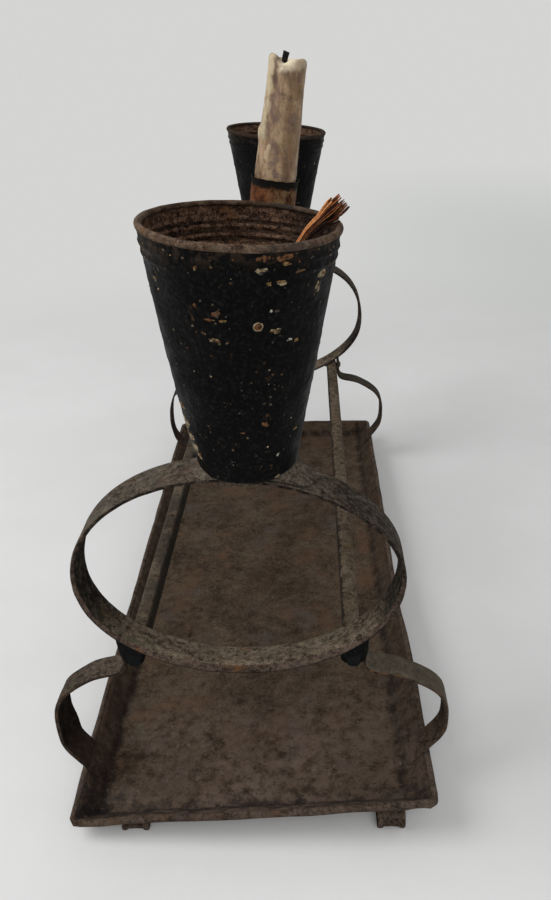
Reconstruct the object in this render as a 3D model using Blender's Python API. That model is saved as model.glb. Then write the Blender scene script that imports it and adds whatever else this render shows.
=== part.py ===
"""Candle stand of sheet iron and strap: a racked tray on four feet carries two rails, two oval
rings with tapered cups, and a leaning candle socket on the bar that joins the rings.

Metres, +Z up. The near end is at -Y and the origin is on the ground under the tray's middle.
"""
import math

import bmesh
import bpy
from mathutils import Matrix, Vector

# Clearances
SEAT_GAP = 0.0003           # left between pieces that touch
HOLE_CLEARANCE = 0.0003     # around a rivet's shank
CANDLE_CLEARANCE = 0.0004   # between the candle and its socket
WICK_CLEARANCE = 0.0003     # between the wick and the candle's bore
FACET_ALLOWANCE = 0.00015   # what a round face loses to its facets

# Tray
TRAY_FLOOR_LENGTH = 0.360
TRAY_FLOOR_WIDTH = 0.1365
TRAY_WALL_FLARE = 0.0080    # how far the wall leans out
TRAY_WALL_HEIGHT = 0.0105   # floor to the middle of the rim bead
TRAY_SHEET = 0.0010
TRAY_BEAD_RADIUS = 0.0016
TRAY_CLEARANCE = 0.0080     # ground to the floor's underside, where the tray isn't racked
TRAY_TWIST = 0.0060         # near right corner up, near left corner down

# Feet
FOOT_WIDTH = 0.0120
FOOT_STRAP = 0.0010
FOOT_SOLE = 0.0080          # length of the flat sole
FOOT_TAB_MARGIN = 0.0020    # strap left round the rivet's head, on the tab under the tray
FOOT_SETBACK = 0.0035       # foot's front, back from the rim
FOOT_INSET_NEAR_LEFT = 0.0172   # each foot's middle, in from the floor's edge
FOOT_INSET_NEAR_RIGHT = 0.0062
FOOT_INSET_FAR_LEFT = 0.0122
FOOT_INSET_FAR_RIGHT = 0.0122

# Rings, and the thickness of the strap that they and the brackets are bent from
STRAP_THICKNESS = 0.0018
RING_STRAP = 0.0165         # width of a ring's strap
RING_WIDTH = 0.1314
RING_HEIGHT = 0.0940
RING_INSET = 0.0207         # a ring's middle, in from the end of the tray's floor
RING_TOP = 0.1697           # ground to the top of a ring
RING_SHOULDERS = {"near": 2.0, "far": 2.4}  # how square a ring's upper half is; 2 is an ellipse

# Rails
RAIL_SPACING = 0.0914       # between the rails' middles
RAIL_WIDTH = 0.0075
RAIL_HEIGHT = 0.0095
RAIL_ROUNDING = 0.0025
RAIL_OVERHANG = 0.0077      # past the rings' middles

# Brackets
BRACKET_STRAP = 0.0115      # width of a bracket's strap
BRACKET_TAB = 0.0070        # upright end beside the rail
BRACKET_SHOULDER_OUT = 0.0183   # from the tab
BRACKET_SHOULDER_DROP = 0.0182  # from the rail's top
BRACKET_SHOULDER_FALL = 30  # degrees below level
BRACKET_OVERHANG = 0.0064   # widest point, out from the tray's rim
BRACKET_TOE = 0.0020        # lower end, up the wall from the floor's edge
BRACKET_DIP_PULL = 0.90     # how fully each bend of the scroll is drawn out
BRACKET_SHOULDER_PULL = 0.55
BRACKET_BULGE_PULL = 0.45
BRACKET_RIM_PULL = 0.50

# Top bar
BAR_WIDTH = 0.0160
BAR_THICKNESS = 0.0020
BAR_OVERHANG = 0.0057       # past the rings' middles
BAR_LINE = 0.0030           # right of the rings' middle

# Cups
CUP_HEIGHT = 0.0880
CUP_RIM_RADIUS = 0.0334
CUP_BASE_RADIUS = 0.0180
CUP_SHEET = 0.0009
CUP_RIM_WIRE = 0.00125      # radius of the rolled rim
CUP_INSET = 0.0050          # in from the rings' middles
CUP_LINE = 0.0060           # right of the rings' middle
CUP_LEAN = 1.2              # degrees, to the right
CUP_RIM_SKEW = 3.1          # degrees, rim against base, lower at the right
CUP_NODS = {"near": 1.0, "far": 2.5}    # degrees, towards the near end
CUP_SWAGE_DROP = 0.0105     # rim to the first swaged ring
CUP_SWAGE_STEP = 0.0050     # from one swaged ring to the next
CUP_SWAGE_COUNT = 2
CUP_SWAGE_HEIGHT = 0.0003
CUP_SWAGE_HALF = 0.0015

# Candle and its socket
CANDLE_LEAN = 8.8           # degrees, to the right
CANDLE_LINE = 0.0006        # foot of its axis, right of the rings' middle
SOCKET_RADIUS = 0.0117
SOCKET_SHEET = 0.0005
SOCKET_LENGTH = 0.0800
SOCKET_BASE_RADIUS = 0.0160
SOCKET_BASE_THICKNESS = 0.0012
CANDLE_LENGTH = 0.1320
CANDLE_TOP_RADIUS = 0.0093
CANDLE_SHOULDER = 0.0014    # rounding of the burnt top
CANDLE_DISH = 0.0012        # hollow melted round the wick
WICK_RADIUS = 0.0014
WICK_PROUD = 0.0042

# Fibre bundle that stands in the near cup
BUNDLE_LEAN = 47.0          # degrees from the cup's axis
BUNDLE_RADIUS = 0.0026
BUNDLE_FOOT_RADIUS = 0.0023
BUNDLE_TIP_RADIUS = 0.0036
BUNDLE_PROUD = 0.0090       # past the rim that it leans on

# Rivets
RIVET_RADIUS = 0.0012
RIVET_HEAD_RADIUS = 0.0024
RIVET_HEAD_HEIGHT = 0.0009
RIVET_DOME = 0.65           # flat of the head, as a share of its radius
DRILL_DEPTH = 0.0100        # of a hole through strap or bar

# Facets
ROUND_STEPS = 40
RING_STEPS = 64
SMALL_STEPS = 10
CURVE_STEPS = 9
BEAD_STEPS = 8
BAR_STEPS = 24
TRAY_CELLS_ACROSS = 4
TRAY_CELLS_ALONG = 8

ENDS = {"near": -1, "far": 1}
SIDES = {"left": -1, "right": 1}

# Sizes that follow from the driving ones
ring_centre_z = RING_TOP - RING_HEIGHT / 2
ring_pitch = TRAY_FLOOR_LENGTH - 2 * RING_INSET
tray_mid_z = TRAY_CLEARANCE + TRAY_SHEET / 2
wall_run = math.hypot(TRAY_WALL_FLARE, TRAY_WALL_HEIGHT)
wall_up = Vector((TRAY_WALL_FLARE, TRAY_WALL_HEIGHT)) / wall_run
wall_out = Vector((TRAY_WALL_HEIGHT, -TRAY_WALL_FLARE)) / wall_run
bead_offset = TRAY_BEAD_RADIUS - TRAY_SHEET / 2
cup_slope = (CUP_RIM_RADIUS - CUP_RIM_WIRE - CUP_BASE_RADIUS) / CUP_HEIGHT
cup_skew = math.tan(math.radians(CUP_RIM_SKEW))
candle_radius = SOCKET_RADIUS - SOCKET_SHEET - CANDLE_CLEARANCE


def wall_point(half_floor, along, out):
    """A point of the tray's wall section: how far from the centre line, and how high."""
    edge = Vector((half_floor, tray_mid_z))
    return edge + wall_up * along + wall_out * out


bead_across = wall_point(TRAY_FLOOR_WIDTH / 2, wall_run, bead_offset)
bead_along = wall_point(TRAY_FLOOR_LENGTH / 2, wall_run, bead_offset)
tray_half_width = bead_across.x + TRAY_BEAD_RADIUS
tray_half_length = bead_along.x + TRAY_BEAD_RADIUS


def tray_lift(x, y):
    """Height that the racked tray gains at a point, none at its far end."""
    nearness = (tray_half_length - y) / (2 * tray_half_length)
    return TRAY_TWIST * nearness * x / tray_half_width


def ring_underside(x):
    """Height of a ring's lower outer surface at a distance from its middle."""
    return ring_centre_z - RING_HEIGHT / 2 * math.sqrt(1 - (2 * x / RING_WIDTH) ** 2)


def rail_crown(offset):
    """Height of the rail's rounded top above its middle, at an offset across it."""
    flat = RAIL_WIDTH / 2 - RAIL_ROUNDING
    past_flat = max(0.0, abs(offset) - flat)
    drop = RAIL_ROUNDING - math.sqrt(RAIL_ROUNDING ** 2 - past_flat ** 2)
    return RAIL_HEIGHT / 2 - drop


def rail_middle_height():
    """Highest place for the rails at which the rings still rest on them."""
    samples = 24
    heights = []
    for step in range(samples + 1):
        offset = RAIL_WIDTH * (step / samples - 0.5)
        heights.append(ring_underside(RAIL_SPACING / 2 + offset) - rail_crown(offset))
    return min(heights) - SEAT_GAP - FACET_ALLOWANCE


rail_z = rail_middle_height()
bar_sag = (RING_HEIGHT / 2) * (1 - math.sqrt(1 - ((BAR_WIDTH + 2 * BAR_LINE) / RING_WIDTH) ** 2))
bar_z = RING_TOP - STRAP_THICKNESS - bar_sag - SEAT_GAP - BAR_THICKNESS / 2


def frame_at(point, lean):
    """Frame at a point, leaning to the right by a number of degrees."""
    return Matrix.Translation(point) @ Matrix.Rotation(math.radians(lean), 4, "Y")


def cup_frame(end):
    """Frame of a cup at the middle of its base, which clears the ring under it as it leans."""
    tilt = math.radians(CUP_LEAN + CUP_NODS[end])
    seat_z = RING_TOP + SEAT_GAP + CUP_BASE_RADIUS * math.sin(tilt)
    seat = Vector((CUP_LINE, ENDS[end] * (ring_pitch / 2 - CUP_INSET), seat_z))
    return frame_at(seat, CUP_LEAN) @ Matrix.Rotation(math.radians(CUP_NODS[end]), 4, "X")


def candle_frame():
    """Frame of the candle's axis, where it meets the middle of the twisted bar."""
    slide = (CANDLE_LINE - BAR_LINE) / math.cos(math.radians(CANDLE_LEAN))
    return frame_at(Vector((BAR_LINE, 0, bar_z)), CANDLE_LEAN) @ Matrix.Translation((slide, 0, 0))


def frame_along(point, axis):
    """Frame at a point whose Z runs along an axis."""
    turn = Vector((0, 0, 1)).rotation_difference(Vector(axis))
    return Matrix.Translation(point) @ turn.to_matrix().to_4x4()


def finish(name, colour, roughness, metallic):
    """A plain surface finish."""
    surface = bpy.data.materials.new(name)
    surface.use_nodes = True
    shader = surface.node_tree.nodes["Principled BSDF"]
    shader.inputs["Base Color"].default_value = (*colour, 1.0)
    shader.inputs["Roughness"].default_value = roughness
    shader.inputs["Metallic"].default_value = metallic
    return surface


def add_piece(name, shape, surface, frame=None, smooth_angle=35):
    """Turn a bmesh into a named object with its finish, at a frame."""
    bmesh.ops.recalc_face_normals(shape, faces=shape.faces)
    mesh = bpy.data.meshes.new(name)
    shape.to_mesh(mesh)
    shape.free()
    mesh.shade_smooth()
    mesh.set_sharp_from_angle(angle=math.radians(smooth_angle))
    mesh.materials.append(surface)
    piece = bpy.data.objects.new(name, mesh)
    bpy.context.scene.collection.objects.link(piece)
    if frame is not None:
        piece.matrix_world = frame
    return piece


def turned(profile, steps, closed):
    """Turn a profile of (radius, height) points round Z; a radius of 0 is a point on the axis."""
    shape = bmesh.new()
    rows = []
    for radius, height in profile:
        if radius == 0:
            rows.append([shape.verts.new((0, 0, height))])
            continue
        row = []
        for step in range(steps):
            angle = 2 * math.pi * step / steps
            row.append(shape.verts.new((radius * math.cos(angle), radius * math.sin(angle), height)))
        rows.append(row)
    pairs = list(zip(rows, rows[1:]))
    if closed:
        pairs.append((rows[-1], rows[0]))
    for low, high in pairs:
        for step in range(steps):
            after = (step + 1) % steps
            corners = []
            for row, places in ((low, (step, after)), (high, (after, step))):
                corners += [row[0]] if len(row) == 1 else [row[place] for place in places]
            shape.faces.new(corners)
    return shape


def bridged(sections, closed):
    """Skin a row of equal sections, capped at both ends unless the row is closed."""
    shape = bmesh.new()
    rows = [[shape.verts.new(point) for point in section] for section in sections]
    pairs = list(zip(rows, rows[1:]))
    if closed:
        pairs.append((rows[-1], rows[0]))
    else:
        shape.faces.new(rows[0])
        shape.faces.new(rows[-1])
    count = len(rows[0])
    for first, second in pairs:
        for index in range(count):
            after = (index + 1) % count
            shape.faces.new((first[index], first[after], second[after], second[index]))
    return shape


def strap_sections(path, thickness, low_y, high_y, closed, place):
    """Sections of a flat strap bent along a path in XZ; place moves each finished point."""
    count = len(path)
    sections = []
    for index, point in enumerate(path):
        before = path[index - 1] if index > 0 or closed else point
        after = path[(index + 1) % count] if index < count - 1 or closed else point
        along = (after - before).normalized()
        across = Vector((-along.y, along.x)) * thickness / 2
        inner = point - across
        outer = point + across
        corners = ((inner, low_y), (outer, low_y), (outer, high_y), (inner, high_y))
        sections.append([place(corner.x, y, corner.y) for corner, y in corners])
    return sections


def bezier(start, start_pull, end_pull, end):
    """Points along a cubic curve, without its first point."""
    points = []
    for step in range(1, CURVE_STEPS + 1):
        t = step / CURVE_STEPS
        u = 1 - t
        points.append(start * u ** 3 + start_pull * 3 * u * u * t + end_pull * 3 * u * t * t + end * t ** 3)
    return points


def drill(piece, holes):
    """Cut a rivet hole through a piece for each (middle, axis, depth)."""
    cutter_shape = bmesh.new()
    for middle, axis, depth in holes:
        bmesh.ops.create_cone(
            cutter_shape, cap_ends=True, segments=SMALL_STEPS, depth=depth,
            radius1=RIVET_RADIUS + HOLE_CLEARANCE, radius2=RIVET_RADIUS + HOLE_CLEARANCE,
            matrix=frame_along(middle, axis))
    cutter_mesh = bpy.data.meshes.new("hole_cutter")
    cutter_shape.to_mesh(cutter_mesh)
    cutter_shape.free()
    cutter = bpy.data.objects.new("hole_cutter", cutter_mesh)
    bpy.context.scene.collection.objects.link(cutter)
    cut = piece.modifiers.new("rivet_holes", "BOOLEAN")
    cut.operation = "DIFFERENCE"
    cut.object = cutter
    graph = bpy.context.evaluated_depsgraph_get()
    mesh = bpy.data.meshes.new_from_object(piece.evaluated_get(graph))
    piece.modifiers.clear()
    piece.data = mesh
    bpy.data.objects.remove(cutter)


def rivet(name, stack_middle, axis, stack, surface):
    """A rivet with a domed head at each end of a stack of sheets."""
    grip = stack / 2 + SEAT_GAP
    end = grip + RIVET_HEAD_HEIGHT
    dome = RIVET_HEAD_RADIUS * RIVET_DOME
    profile = (
        (0, -end), (dome, -end), (RIVET_HEAD_RADIUS, -grip), (RIVET_RADIUS, -grip),
        (RIVET_RADIUS, grip), (RIVET_HEAD_RADIUS, grip), (dome, end), (0, end))
    shape = turned(profile, SMALL_STEPS, closed=False)
    return add_piece(name, shape, surface, frame_along(stack_middle, axis))


def grid_stations(half_floor, half_top, cells):
    """Positions across the tray: wall top, floor edge, even steps, floor edge, wall top."""
    inner = [half_floor * (2 * step / cells - 1) for step in range(cells + 1)]
    return [-half_top, *inner, half_top]


def make_tray(surface):
    """The folded pan, racked, with holes for the rivets of its feet and brackets."""
    wall_end = wall_run - TRAY_BEAD_RADIUS - SEAT_GAP
    top_across = wall_point(TRAY_FLOOR_WIDTH / 2, wall_end, 0)
    top_along = wall_point(TRAY_FLOOR_LENGTH / 2, wall_end, 0)
    across = grid_stations(TRAY_FLOOR_WIDTH / 2, top_across.x, TRAY_CELLS_ACROSS)
    along = grid_stations(TRAY_FLOOR_LENGTH / 2, top_along.x, TRAY_CELLS_ALONG)
    shape = bmesh.new()
    rows = []
    for row, y in enumerate(along):
        verts = []
        for column, x in enumerate(across):
            on_wall = row in (0, len(along) - 1) or column in (0, len(across) - 1)
            z = top_across.y if on_wall else tray_mid_z
            verts.append(shape.verts.new((x, y, z + tray_lift(x, y))))
        rows.append(verts)
    last_row = len(along) - 2
    last_column = len(across) - 2
    for row in range(last_row + 1):
        for column in range(last_column + 1):
            quad = rows[row][column:column + 2] + rows[row + 1][column:column + 2][::-1]
            if row in (0, last_row) and column in (0, last_column):
                start = 0 if (row == 0) == (column == 0) else 1
                turned_quad = quad[start:] + quad[:start]
                shape.faces.new((turned_quad[0], turned_quad[1], turned_quad[2]))
                shape.faces.new((turned_quad[0], turned_quad[2], turned_quad[3]))
            else:
                shape.faces.new(quad)
    tray = add_piece("tray_pan", shape, surface)
    sheet = tray.modifiers.new("sheet", "SOLIDIFY")
    sheet.thickness = TRAY_SHEET
    sheet.offset = 0
    sheet.use_even_offset = True
    return tray


def make_tray_bead(surface):
    """The rolled rim round the pan, mitred at its corners."""
    corners = ((-1, -1), (1, -1), (1, 1), (-1, 1))
    sections = []
    for side_x, side_y in corners:
        section = []
        for facet in range(BEAD_STEPS):
            angle = 2 * math.pi * facet / BEAD_STEPS
            out = TRAY_BEAD_RADIUS * math.cos(angle)
            x = side_x * (bead_across.x + out)
            y = side_y * (bead_along.x + out)
            z = bead_across.y + TRAY_BEAD_RADIUS * math.sin(angle)
            section.append((x, y, z + tray_lift(x, y)))
        sections.append(section)
    return add_piece("tray_rim_bead", bridged(sections, closed=True), surface)


def foot_path(height, tab):
    """Middle line of a foot: tab under the tray, round front, sole on the ground."""
    top = height - SEAT_GAP - FOOT_STRAP / 2
    sole = FOOT_STRAP / 2
    radius = (top - sole) / 2
    path = [Vector((tab, top))]
    for step in range(CURVE_STEPS + 1):
        angle = math.pi * step / CURVE_STEPS
        path.append(Vector((-radius * math.sin(angle), sole + radius + radius * math.cos(angle))))
    path.append(Vector((FOOT_SOLE, sole)))
    return path, radius


def make_foot(end, side, inset, surface, rivet_surface):
    """One strap foot, bent to the height that the racked tray leaves it; returns its hole in the tray."""
    outward = ENDS[end]
    middle_x = SIDES[side] * (TRAY_FLOOR_WIDTH / 2 - inset)
    front_y = tray_half_length - FOOT_SETBACK
    height = TRAY_CLEARANCE + tray_lift(middle_x, outward * front_y)
    rivet_in = FOOT_SOLE + FOOT_TAB_MARGIN + RIVET_HEAD_RADIUS
    path, radius = foot_path(height, rivet_in + RIVET_HEAD_RADIUS + FOOT_TAB_MARGIN)
    bend_y = front_y - radius - FOOT_STRAP / 2

    def place(inward, across, z):
        x = middle_x + across
        y = outward * (bend_y - inward)
        tilt = tray_lift(x, y) - tray_lift(middle_x, outward * front_y)
        return (x, y, z + tilt * max(0.0, z - FOOT_STRAP) / height)

    sections = strap_sections(path, FOOT_STRAP, -FOOT_WIDTH / 2, FOOT_WIDTH / 2, False, place)
    foot = add_piece("foot_%s_%s" % (end, side), bridged(sections, closed=False), surface)
    rivet_y = outward * (bend_y - rivet_in)
    stack = TRAY_SHEET + SEAT_GAP + FOOT_STRAP
    tray_top = TRAY_CLEARANCE + TRAY_SHEET + tray_lift(middle_x, rivet_y)
    middle = Vector((middle_x, rivet_y, tray_top - stack / 2))
    up = Vector((0, 0, 1))
    drill(foot, [(middle, up, stack + 2 * SEAT_GAP)])
    rivet("foot_rivet_%s_%s" % (end, side), middle, up, stack, rivet_surface)
    return middle, up, stack + 2 * SEAT_GAP


def bracket_path():
    """A bracket's middle line on the right: tab beside the rail, shoulder, bulge, tray wall."""
    tab_x = RAIL_SPACING / 2 + RAIL_WIDTH / 2 + SEAT_GAP + STRAP_THICKNESS / 2
    tab_top = Vector((tab_x, rail_z + RAIL_HEIGHT / 2))
    tab_end = tab_top - Vector((0, BRACKET_TAB))
    fall = math.radians(BRACKET_SHOULDER_FALL)
    shoulder = tab_top + Vector((BRACKET_SHOULDER_OUT, -BRACKET_SHOULDER_DROP))
    shoulder_way = Vector((math.cos(fall), -math.sin(fall)))
    off_wall = -(TRAY_SHEET / 2 + SEAT_GAP + STRAP_THICKNESS / 2)
    over_rim = wall_point(TRAY_FLOOR_WIDTH / 2, wall_run + 2 * TRAY_BEAD_RADIUS, off_wall)
    bulge = Vector((tray_half_width + BRACKET_OVERHANG, (shoulder.y + over_rim.y) / 2))
    toe = wall_point(TRAY_FLOOR_WIDTH / 2, BRACKET_TOE, off_wall)
    down = Vector((0, -1))
    dip_pull = (tab_end.y - shoulder.y) * BRACKET_DIP_PULL
    shoulder_pull = (shoulder - tab_end).length * BRACKET_SHOULDER_PULL
    bulge_pull = (shoulder - bulge).length * BRACKET_BULGE_PULL
    rim_pull = (bulge - over_rim).length * BRACKET_RIM_PULL
    path = [tab_top, tab_end]
    path += bezier(tab_end, tab_end + down * dip_pull, shoulder - shoulder_way * shoulder_pull, shoulder)
    path += bezier(shoulder, shoulder + shoulder_way * bulge_pull, bulge - down * bulge_pull, bulge)
    path += bezier(bulge, bulge + down * rim_pull, over_rim + wall_up * rim_pull, over_rim)
    path.append(toe)
    return path, tab_end, over_rim


def make_bracket(end, side, surface, rivet_surface):
    """One scroll bracket with its two rivets; returns its holes in the rail and in the tray."""
    path, tab_end, over_rim = bracket_path()
    flip = SIDES[side]
    middle_y = ENDS[end] * ring_pitch / 2

    def racking(x, y, z):
        share = (tab_end.y - z) / (tab_end.y - over_rim.y)
        return tray_lift(flip * x, y) * min(1.0, max(0.0, share))

    def place(x, across, z):
        y = middle_y + across
        return (flip * x, y, z + racking(x, y, z))

    sections = strap_sections(path, STRAP_THICKNESS, -BRACKET_STRAP / 2, BRACKET_STRAP / 2, False, place)
    name = "%s_%s" % (end, side)
    bracket = add_piece("bracket_" + name, bridged(sections, closed=False), surface)

    tab_stack = RAIL_WIDTH + SEAT_GAP + STRAP_THICKNESS
    tab_x = RAIL_SPACING / 2 + (SEAT_GAP + STRAP_THICKNESS) / 2
    tab_middle = Vector((flip * tab_x, middle_y, tab_end.y + BRACKET_TAB / 2))
    sideways = Vector((flip, 0, 0))
    tab_hole = (tab_middle, sideways, tab_stack + 2 * SEAT_GAP)

    wall_stack = TRAY_SHEET + SEAT_GAP + STRAP_THICKNESS
    half_way = (BRACKET_TOE + wall_run - TRAY_BEAD_RADIUS) / 2
    section = wall_point(TRAY_FLOOR_WIDTH / 2, half_way, -(SEAT_GAP + STRAP_THICKNESS) / 2)
    lift = tray_lift(flip * section.x, middle_y)
    wall_middle = Vector((flip * section.x, middle_y, section.y + lift))
    wall_axis = Vector((flip * wall_out.x, 0, wall_out.y))
    wall_hole = (wall_middle, wall_axis, wall_stack + 2 * SEAT_GAP)

    drill(bracket, [tab_hole, wall_hole])
    rivet("rail_rivet_" + name, tab_middle, sideways, tab_stack, surface)
    rivet("tray_rivet_" + name, wall_middle, wall_axis, wall_stack, rivet_surface)
    return tab_hole, wall_hole


def make_rail(side, surface):
    """One rail: a bar of rounded section along the stand."""
    corners = ((1, 1, 0), (-1, 1, 1), (-1, -1, 2), (1, -1, 3))
    arc_steps = 3
    outline = []
    for side_x, side_z, quarter in corners:
        for step in range(arc_steps + 1):
            angle = math.pi / 2 * (quarter + step / arc_steps)
            x = side_x * (RAIL_WIDTH / 2 - RAIL_ROUNDING) + RAIL_ROUNDING * math.cos(angle)
            z = side_z * (RAIL_HEIGHT / 2 - RAIL_ROUNDING) + RAIL_ROUNDING * math.sin(angle)
            outline.append((x, z))
    middle_x = SIDES[side] * RAIL_SPACING / 2
    sections = []
    for y in (-ring_pitch / 2 - RAIL_OVERHANG, ring_pitch / 2 + RAIL_OVERHANG):
        sections.append([(middle_x + x, y, rail_z + z) for x, z in outline])
    return add_piece("rail_" + side, bridged(sections, closed=False), surface)


def make_ring(end, surface):
    """One oval ring of strap, drilled at the top for the cup's rivet."""
    middle_y = ENDS[end] * ring_pitch / 2
    half_wide = (RING_WIDTH - STRAP_THICKNESS) / 2
    half_high = (RING_HEIGHT - STRAP_THICKNESS) / 2
    path = []
    for step in range(RING_STEPS):
        angle = 2 * math.pi * step / RING_STEPS
        power = 2 / RING_SHOULDERS[end] if math.sin(angle) > 0 else 1.0
        across = math.copysign(abs(math.cos(angle)) ** power, math.cos(angle))
        up = math.copysign(abs(math.sin(angle)) ** power, math.sin(angle))
        path.append(Vector((half_wide * across, ring_centre_z + half_high * up)))

    def place(x, across, z):
        return (x, middle_y + across, z)

    sections = strap_sections(path, STRAP_THICKNESS, -RING_STRAP / 2, RING_STRAP / 2, True, place)
    ring = add_piece("ring_" + end, bridged(sections, closed=True), surface)
    rivet_y = ENDS[end] * (ring_pitch / 2 - CUP_INSET)
    crown = Vector((CUP_LINE, rivet_y, RING_TOP - STRAP_THICKNESS))
    drill(ring, [(crown, Vector((0, 0, 1)), DRILL_DEPTH)])
    return ring


def make_top_bar(surface):
    """The flat bar under the rings' tops, twisted in the middle to the candle's lean."""
    flat_until = SOCKET_BASE_RADIUS + BAR_WIDTH / 4
    level_from = ring_pitch / 2 - RING_STRAP / 2
    length = ring_pitch + 2 * BAR_OVERHANG
    sections = []
    for step in range(BAR_STEPS + 1):
        y = length * (step / BAR_STEPS - 0.5)
        share = (level_from - abs(y)) / (level_from - flat_until)
        share = min(1.0, max(0.0, share))
        eased = share * share * (3 - 2 * share)
        frame = frame_at(Vector((BAR_LINE, y, bar_z)), CANDLE_LEAN * eased)
        section = []
        for side_x, side_z in ((-1, -1), (1, -1), (1, 1), (-1, 1)):
            section.append(frame @ Vector((side_x * BAR_WIDTH / 2, 0, side_z * BAR_THICKNESS / 2)))
        sections.append(section)
    bar = add_piece("top_bar", bridged(sections, closed=False), surface)
    up = Vector((0, 0, 1))
    holes = []
    for outward in ENDS.values():
        rivet_y = outward * (ring_pitch / 2 - CUP_INSET)
        holes.append((Vector((CUP_LINE, rivet_y, bar_z)), up, DRILL_DEPTH))
    lean_frame = candle_frame()
    holes.append((lean_frame.translation, lean_frame.to_3x3() @ up, DRILL_DEPTH))
    drill(bar, holes)
    return bar


def cup_wall_radius(height):
    """Outer radius of the cup's plain wall at a height above its base."""
    return CUP_BASE_RADIUS + cup_slope * height


def skewed(shape):
    """Set the upper part of a cup askew, lower at its right."""
    for vert in shape.verts:
        vert.co.z -= vert.co.x * cup_skew * (vert.co.z / CUP_HEIGHT) ** 2
    return shape


def make_cup(end, wall_surface, rim_surface, rivet_surface):
    """One tapered cup with two swaged rings, its base disc, rolled rim and rivet."""
    frame = cup_frame(end)
    seat = frame.translation
    wall_top = CUP_HEIGHT - 2 * CUP_RIM_WIRE - SEAT_GAP
    stations = [(0.0, 0.0)]
    for index in reversed(range(CUP_SWAGE_COUNT)):
        middle = CUP_HEIGHT - CUP_SWAGE_DROP - CUP_SWAGE_STEP * index
        stations.append((middle - CUP_SWAGE_HALF, 0.0))
        stations.append((middle, CUP_SWAGE_HEIGHT))
        stations.append((middle + CUP_SWAGE_HALF, 0.0))
    stations.append((wall_top, 0.0))
    outer = [(cup_wall_radius(height) + swell, height) for height, swell in stations]
    inner = [(radius - CUP_SHEET, height) for radius, height in reversed(outer)]
    wall = skewed(turned(outer + inner, ROUND_STEPS, closed=True))
    add_piece("cup_" + end, wall, wall_surface, frame)

    rim = []
    for facet in range(BEAD_STEPS):
        angle = 2 * math.pi * facet / BEAD_STEPS
        radius = CUP_RIM_RADIUS - CUP_RIM_WIRE + CUP_RIM_WIRE * math.cos(angle)
        rim.append((radius, CUP_HEIGHT - CUP_RIM_WIRE + CUP_RIM_WIRE * math.sin(angle)))
    add_piece("cup_rim_" + end, skewed(turned(rim, ROUND_STEPS, closed=True)), rim_surface, frame)

    disc_radius = CUP_BASE_RADIUS - CUP_SHEET - SEAT_GAP - FACET_ALLOWANCE
    bore = RIVET_RADIUS + HOLE_CLEARANCE
    disc = [(bore, 0), (disc_radius, 0), (disc_radius, CUP_SHEET), (bore, CUP_SHEET)]
    add_piece("cup_base_" + end, turned(disc, ROUND_STEPS, closed=True), wall_surface, frame)

    stack_top = seat.z + CUP_SHEET
    stack_low = bar_z - BAR_THICKNESS / 2
    middle = Vector((seat.x, seat.y, (stack_top + stack_low) / 2))
    rivet("cup_rivet_" + end, middle, Vector((0, 0, 1)), stack_top - stack_low, rivet_surface)


def make_candle(socket_surface, bar_surface, wax_surface, wick_surface):
    """The leaning socket on its base, and the candle with its wick, all on one axis."""
    frame = candle_frame()
    base_low = BAR_THICKNESS / 2 + SEAT_GAP
    base_high = base_low + SOCKET_BASE_THICKNESS
    bore = RIVET_RADIUS + HOLE_CLEARANCE
    base = [
        (bore, base_low), (SOCKET_BASE_RADIUS, base_low),
        (SOCKET_BASE_RADIUS, base_high), (bore, base_high)]
    add_piece("socket_base", turned(base, ROUND_STEPS, closed=True), bar_surface, frame)

    tube_low = base_high + SEAT_GAP
    tube_high = tube_low + SOCKET_LENGTH
    inside = SOCKET_RADIUS - SOCKET_SHEET
    tube = [(SOCKET_RADIUS, tube_low), (SOCKET_RADIUS, tube_high), (inside, tube_high), (inside, tube_low)]
    add_piece("candle_socket", turned(tube, ROUND_STEPS, closed=True), socket_surface, frame)

    stack_low = -BAR_THICKNESS / 2
    middle = frame @ Vector((0, 0, (base_high + stack_low) / 2))
    rivet("socket_rivet", middle, frame.to_3x3() @ Vector((0, 0, 1)), base_high - stack_low, bar_surface)

    candle_low = base_high + 2 * SEAT_GAP + RIVET_HEAD_HEIGHT
    candle_high = candle_low + CANDLE_LENGTH
    wick_hole = WICK_RADIUS + WICK_CLEARANCE
    candle = [
        (wick_hole, candle_low), (candle_radius, candle_low), (candle_radius, tube_high),
        (CANDLE_TOP_RADIUS, candle_high - CANDLE_SHOULDER),
        (CANDLE_TOP_RADIUS - CANDLE_SHOULDER, candle_high),
        (wick_hole, candle_high - CANDLE_DISH)]
    add_piece("candle", turned(candle, ROUND_STEPS, closed=True), wax_surface, frame)

    wick_high = candle_high + WICK_PROUD
    wick = [(0, candle_low), (WICK_RADIUS, candle_low), (WICK_RADIUS, wick_high), (0, wick_high)]
    add_piece("wick", turned(wick, SMALL_STEPS, closed=False), wick_surface, frame)


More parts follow.
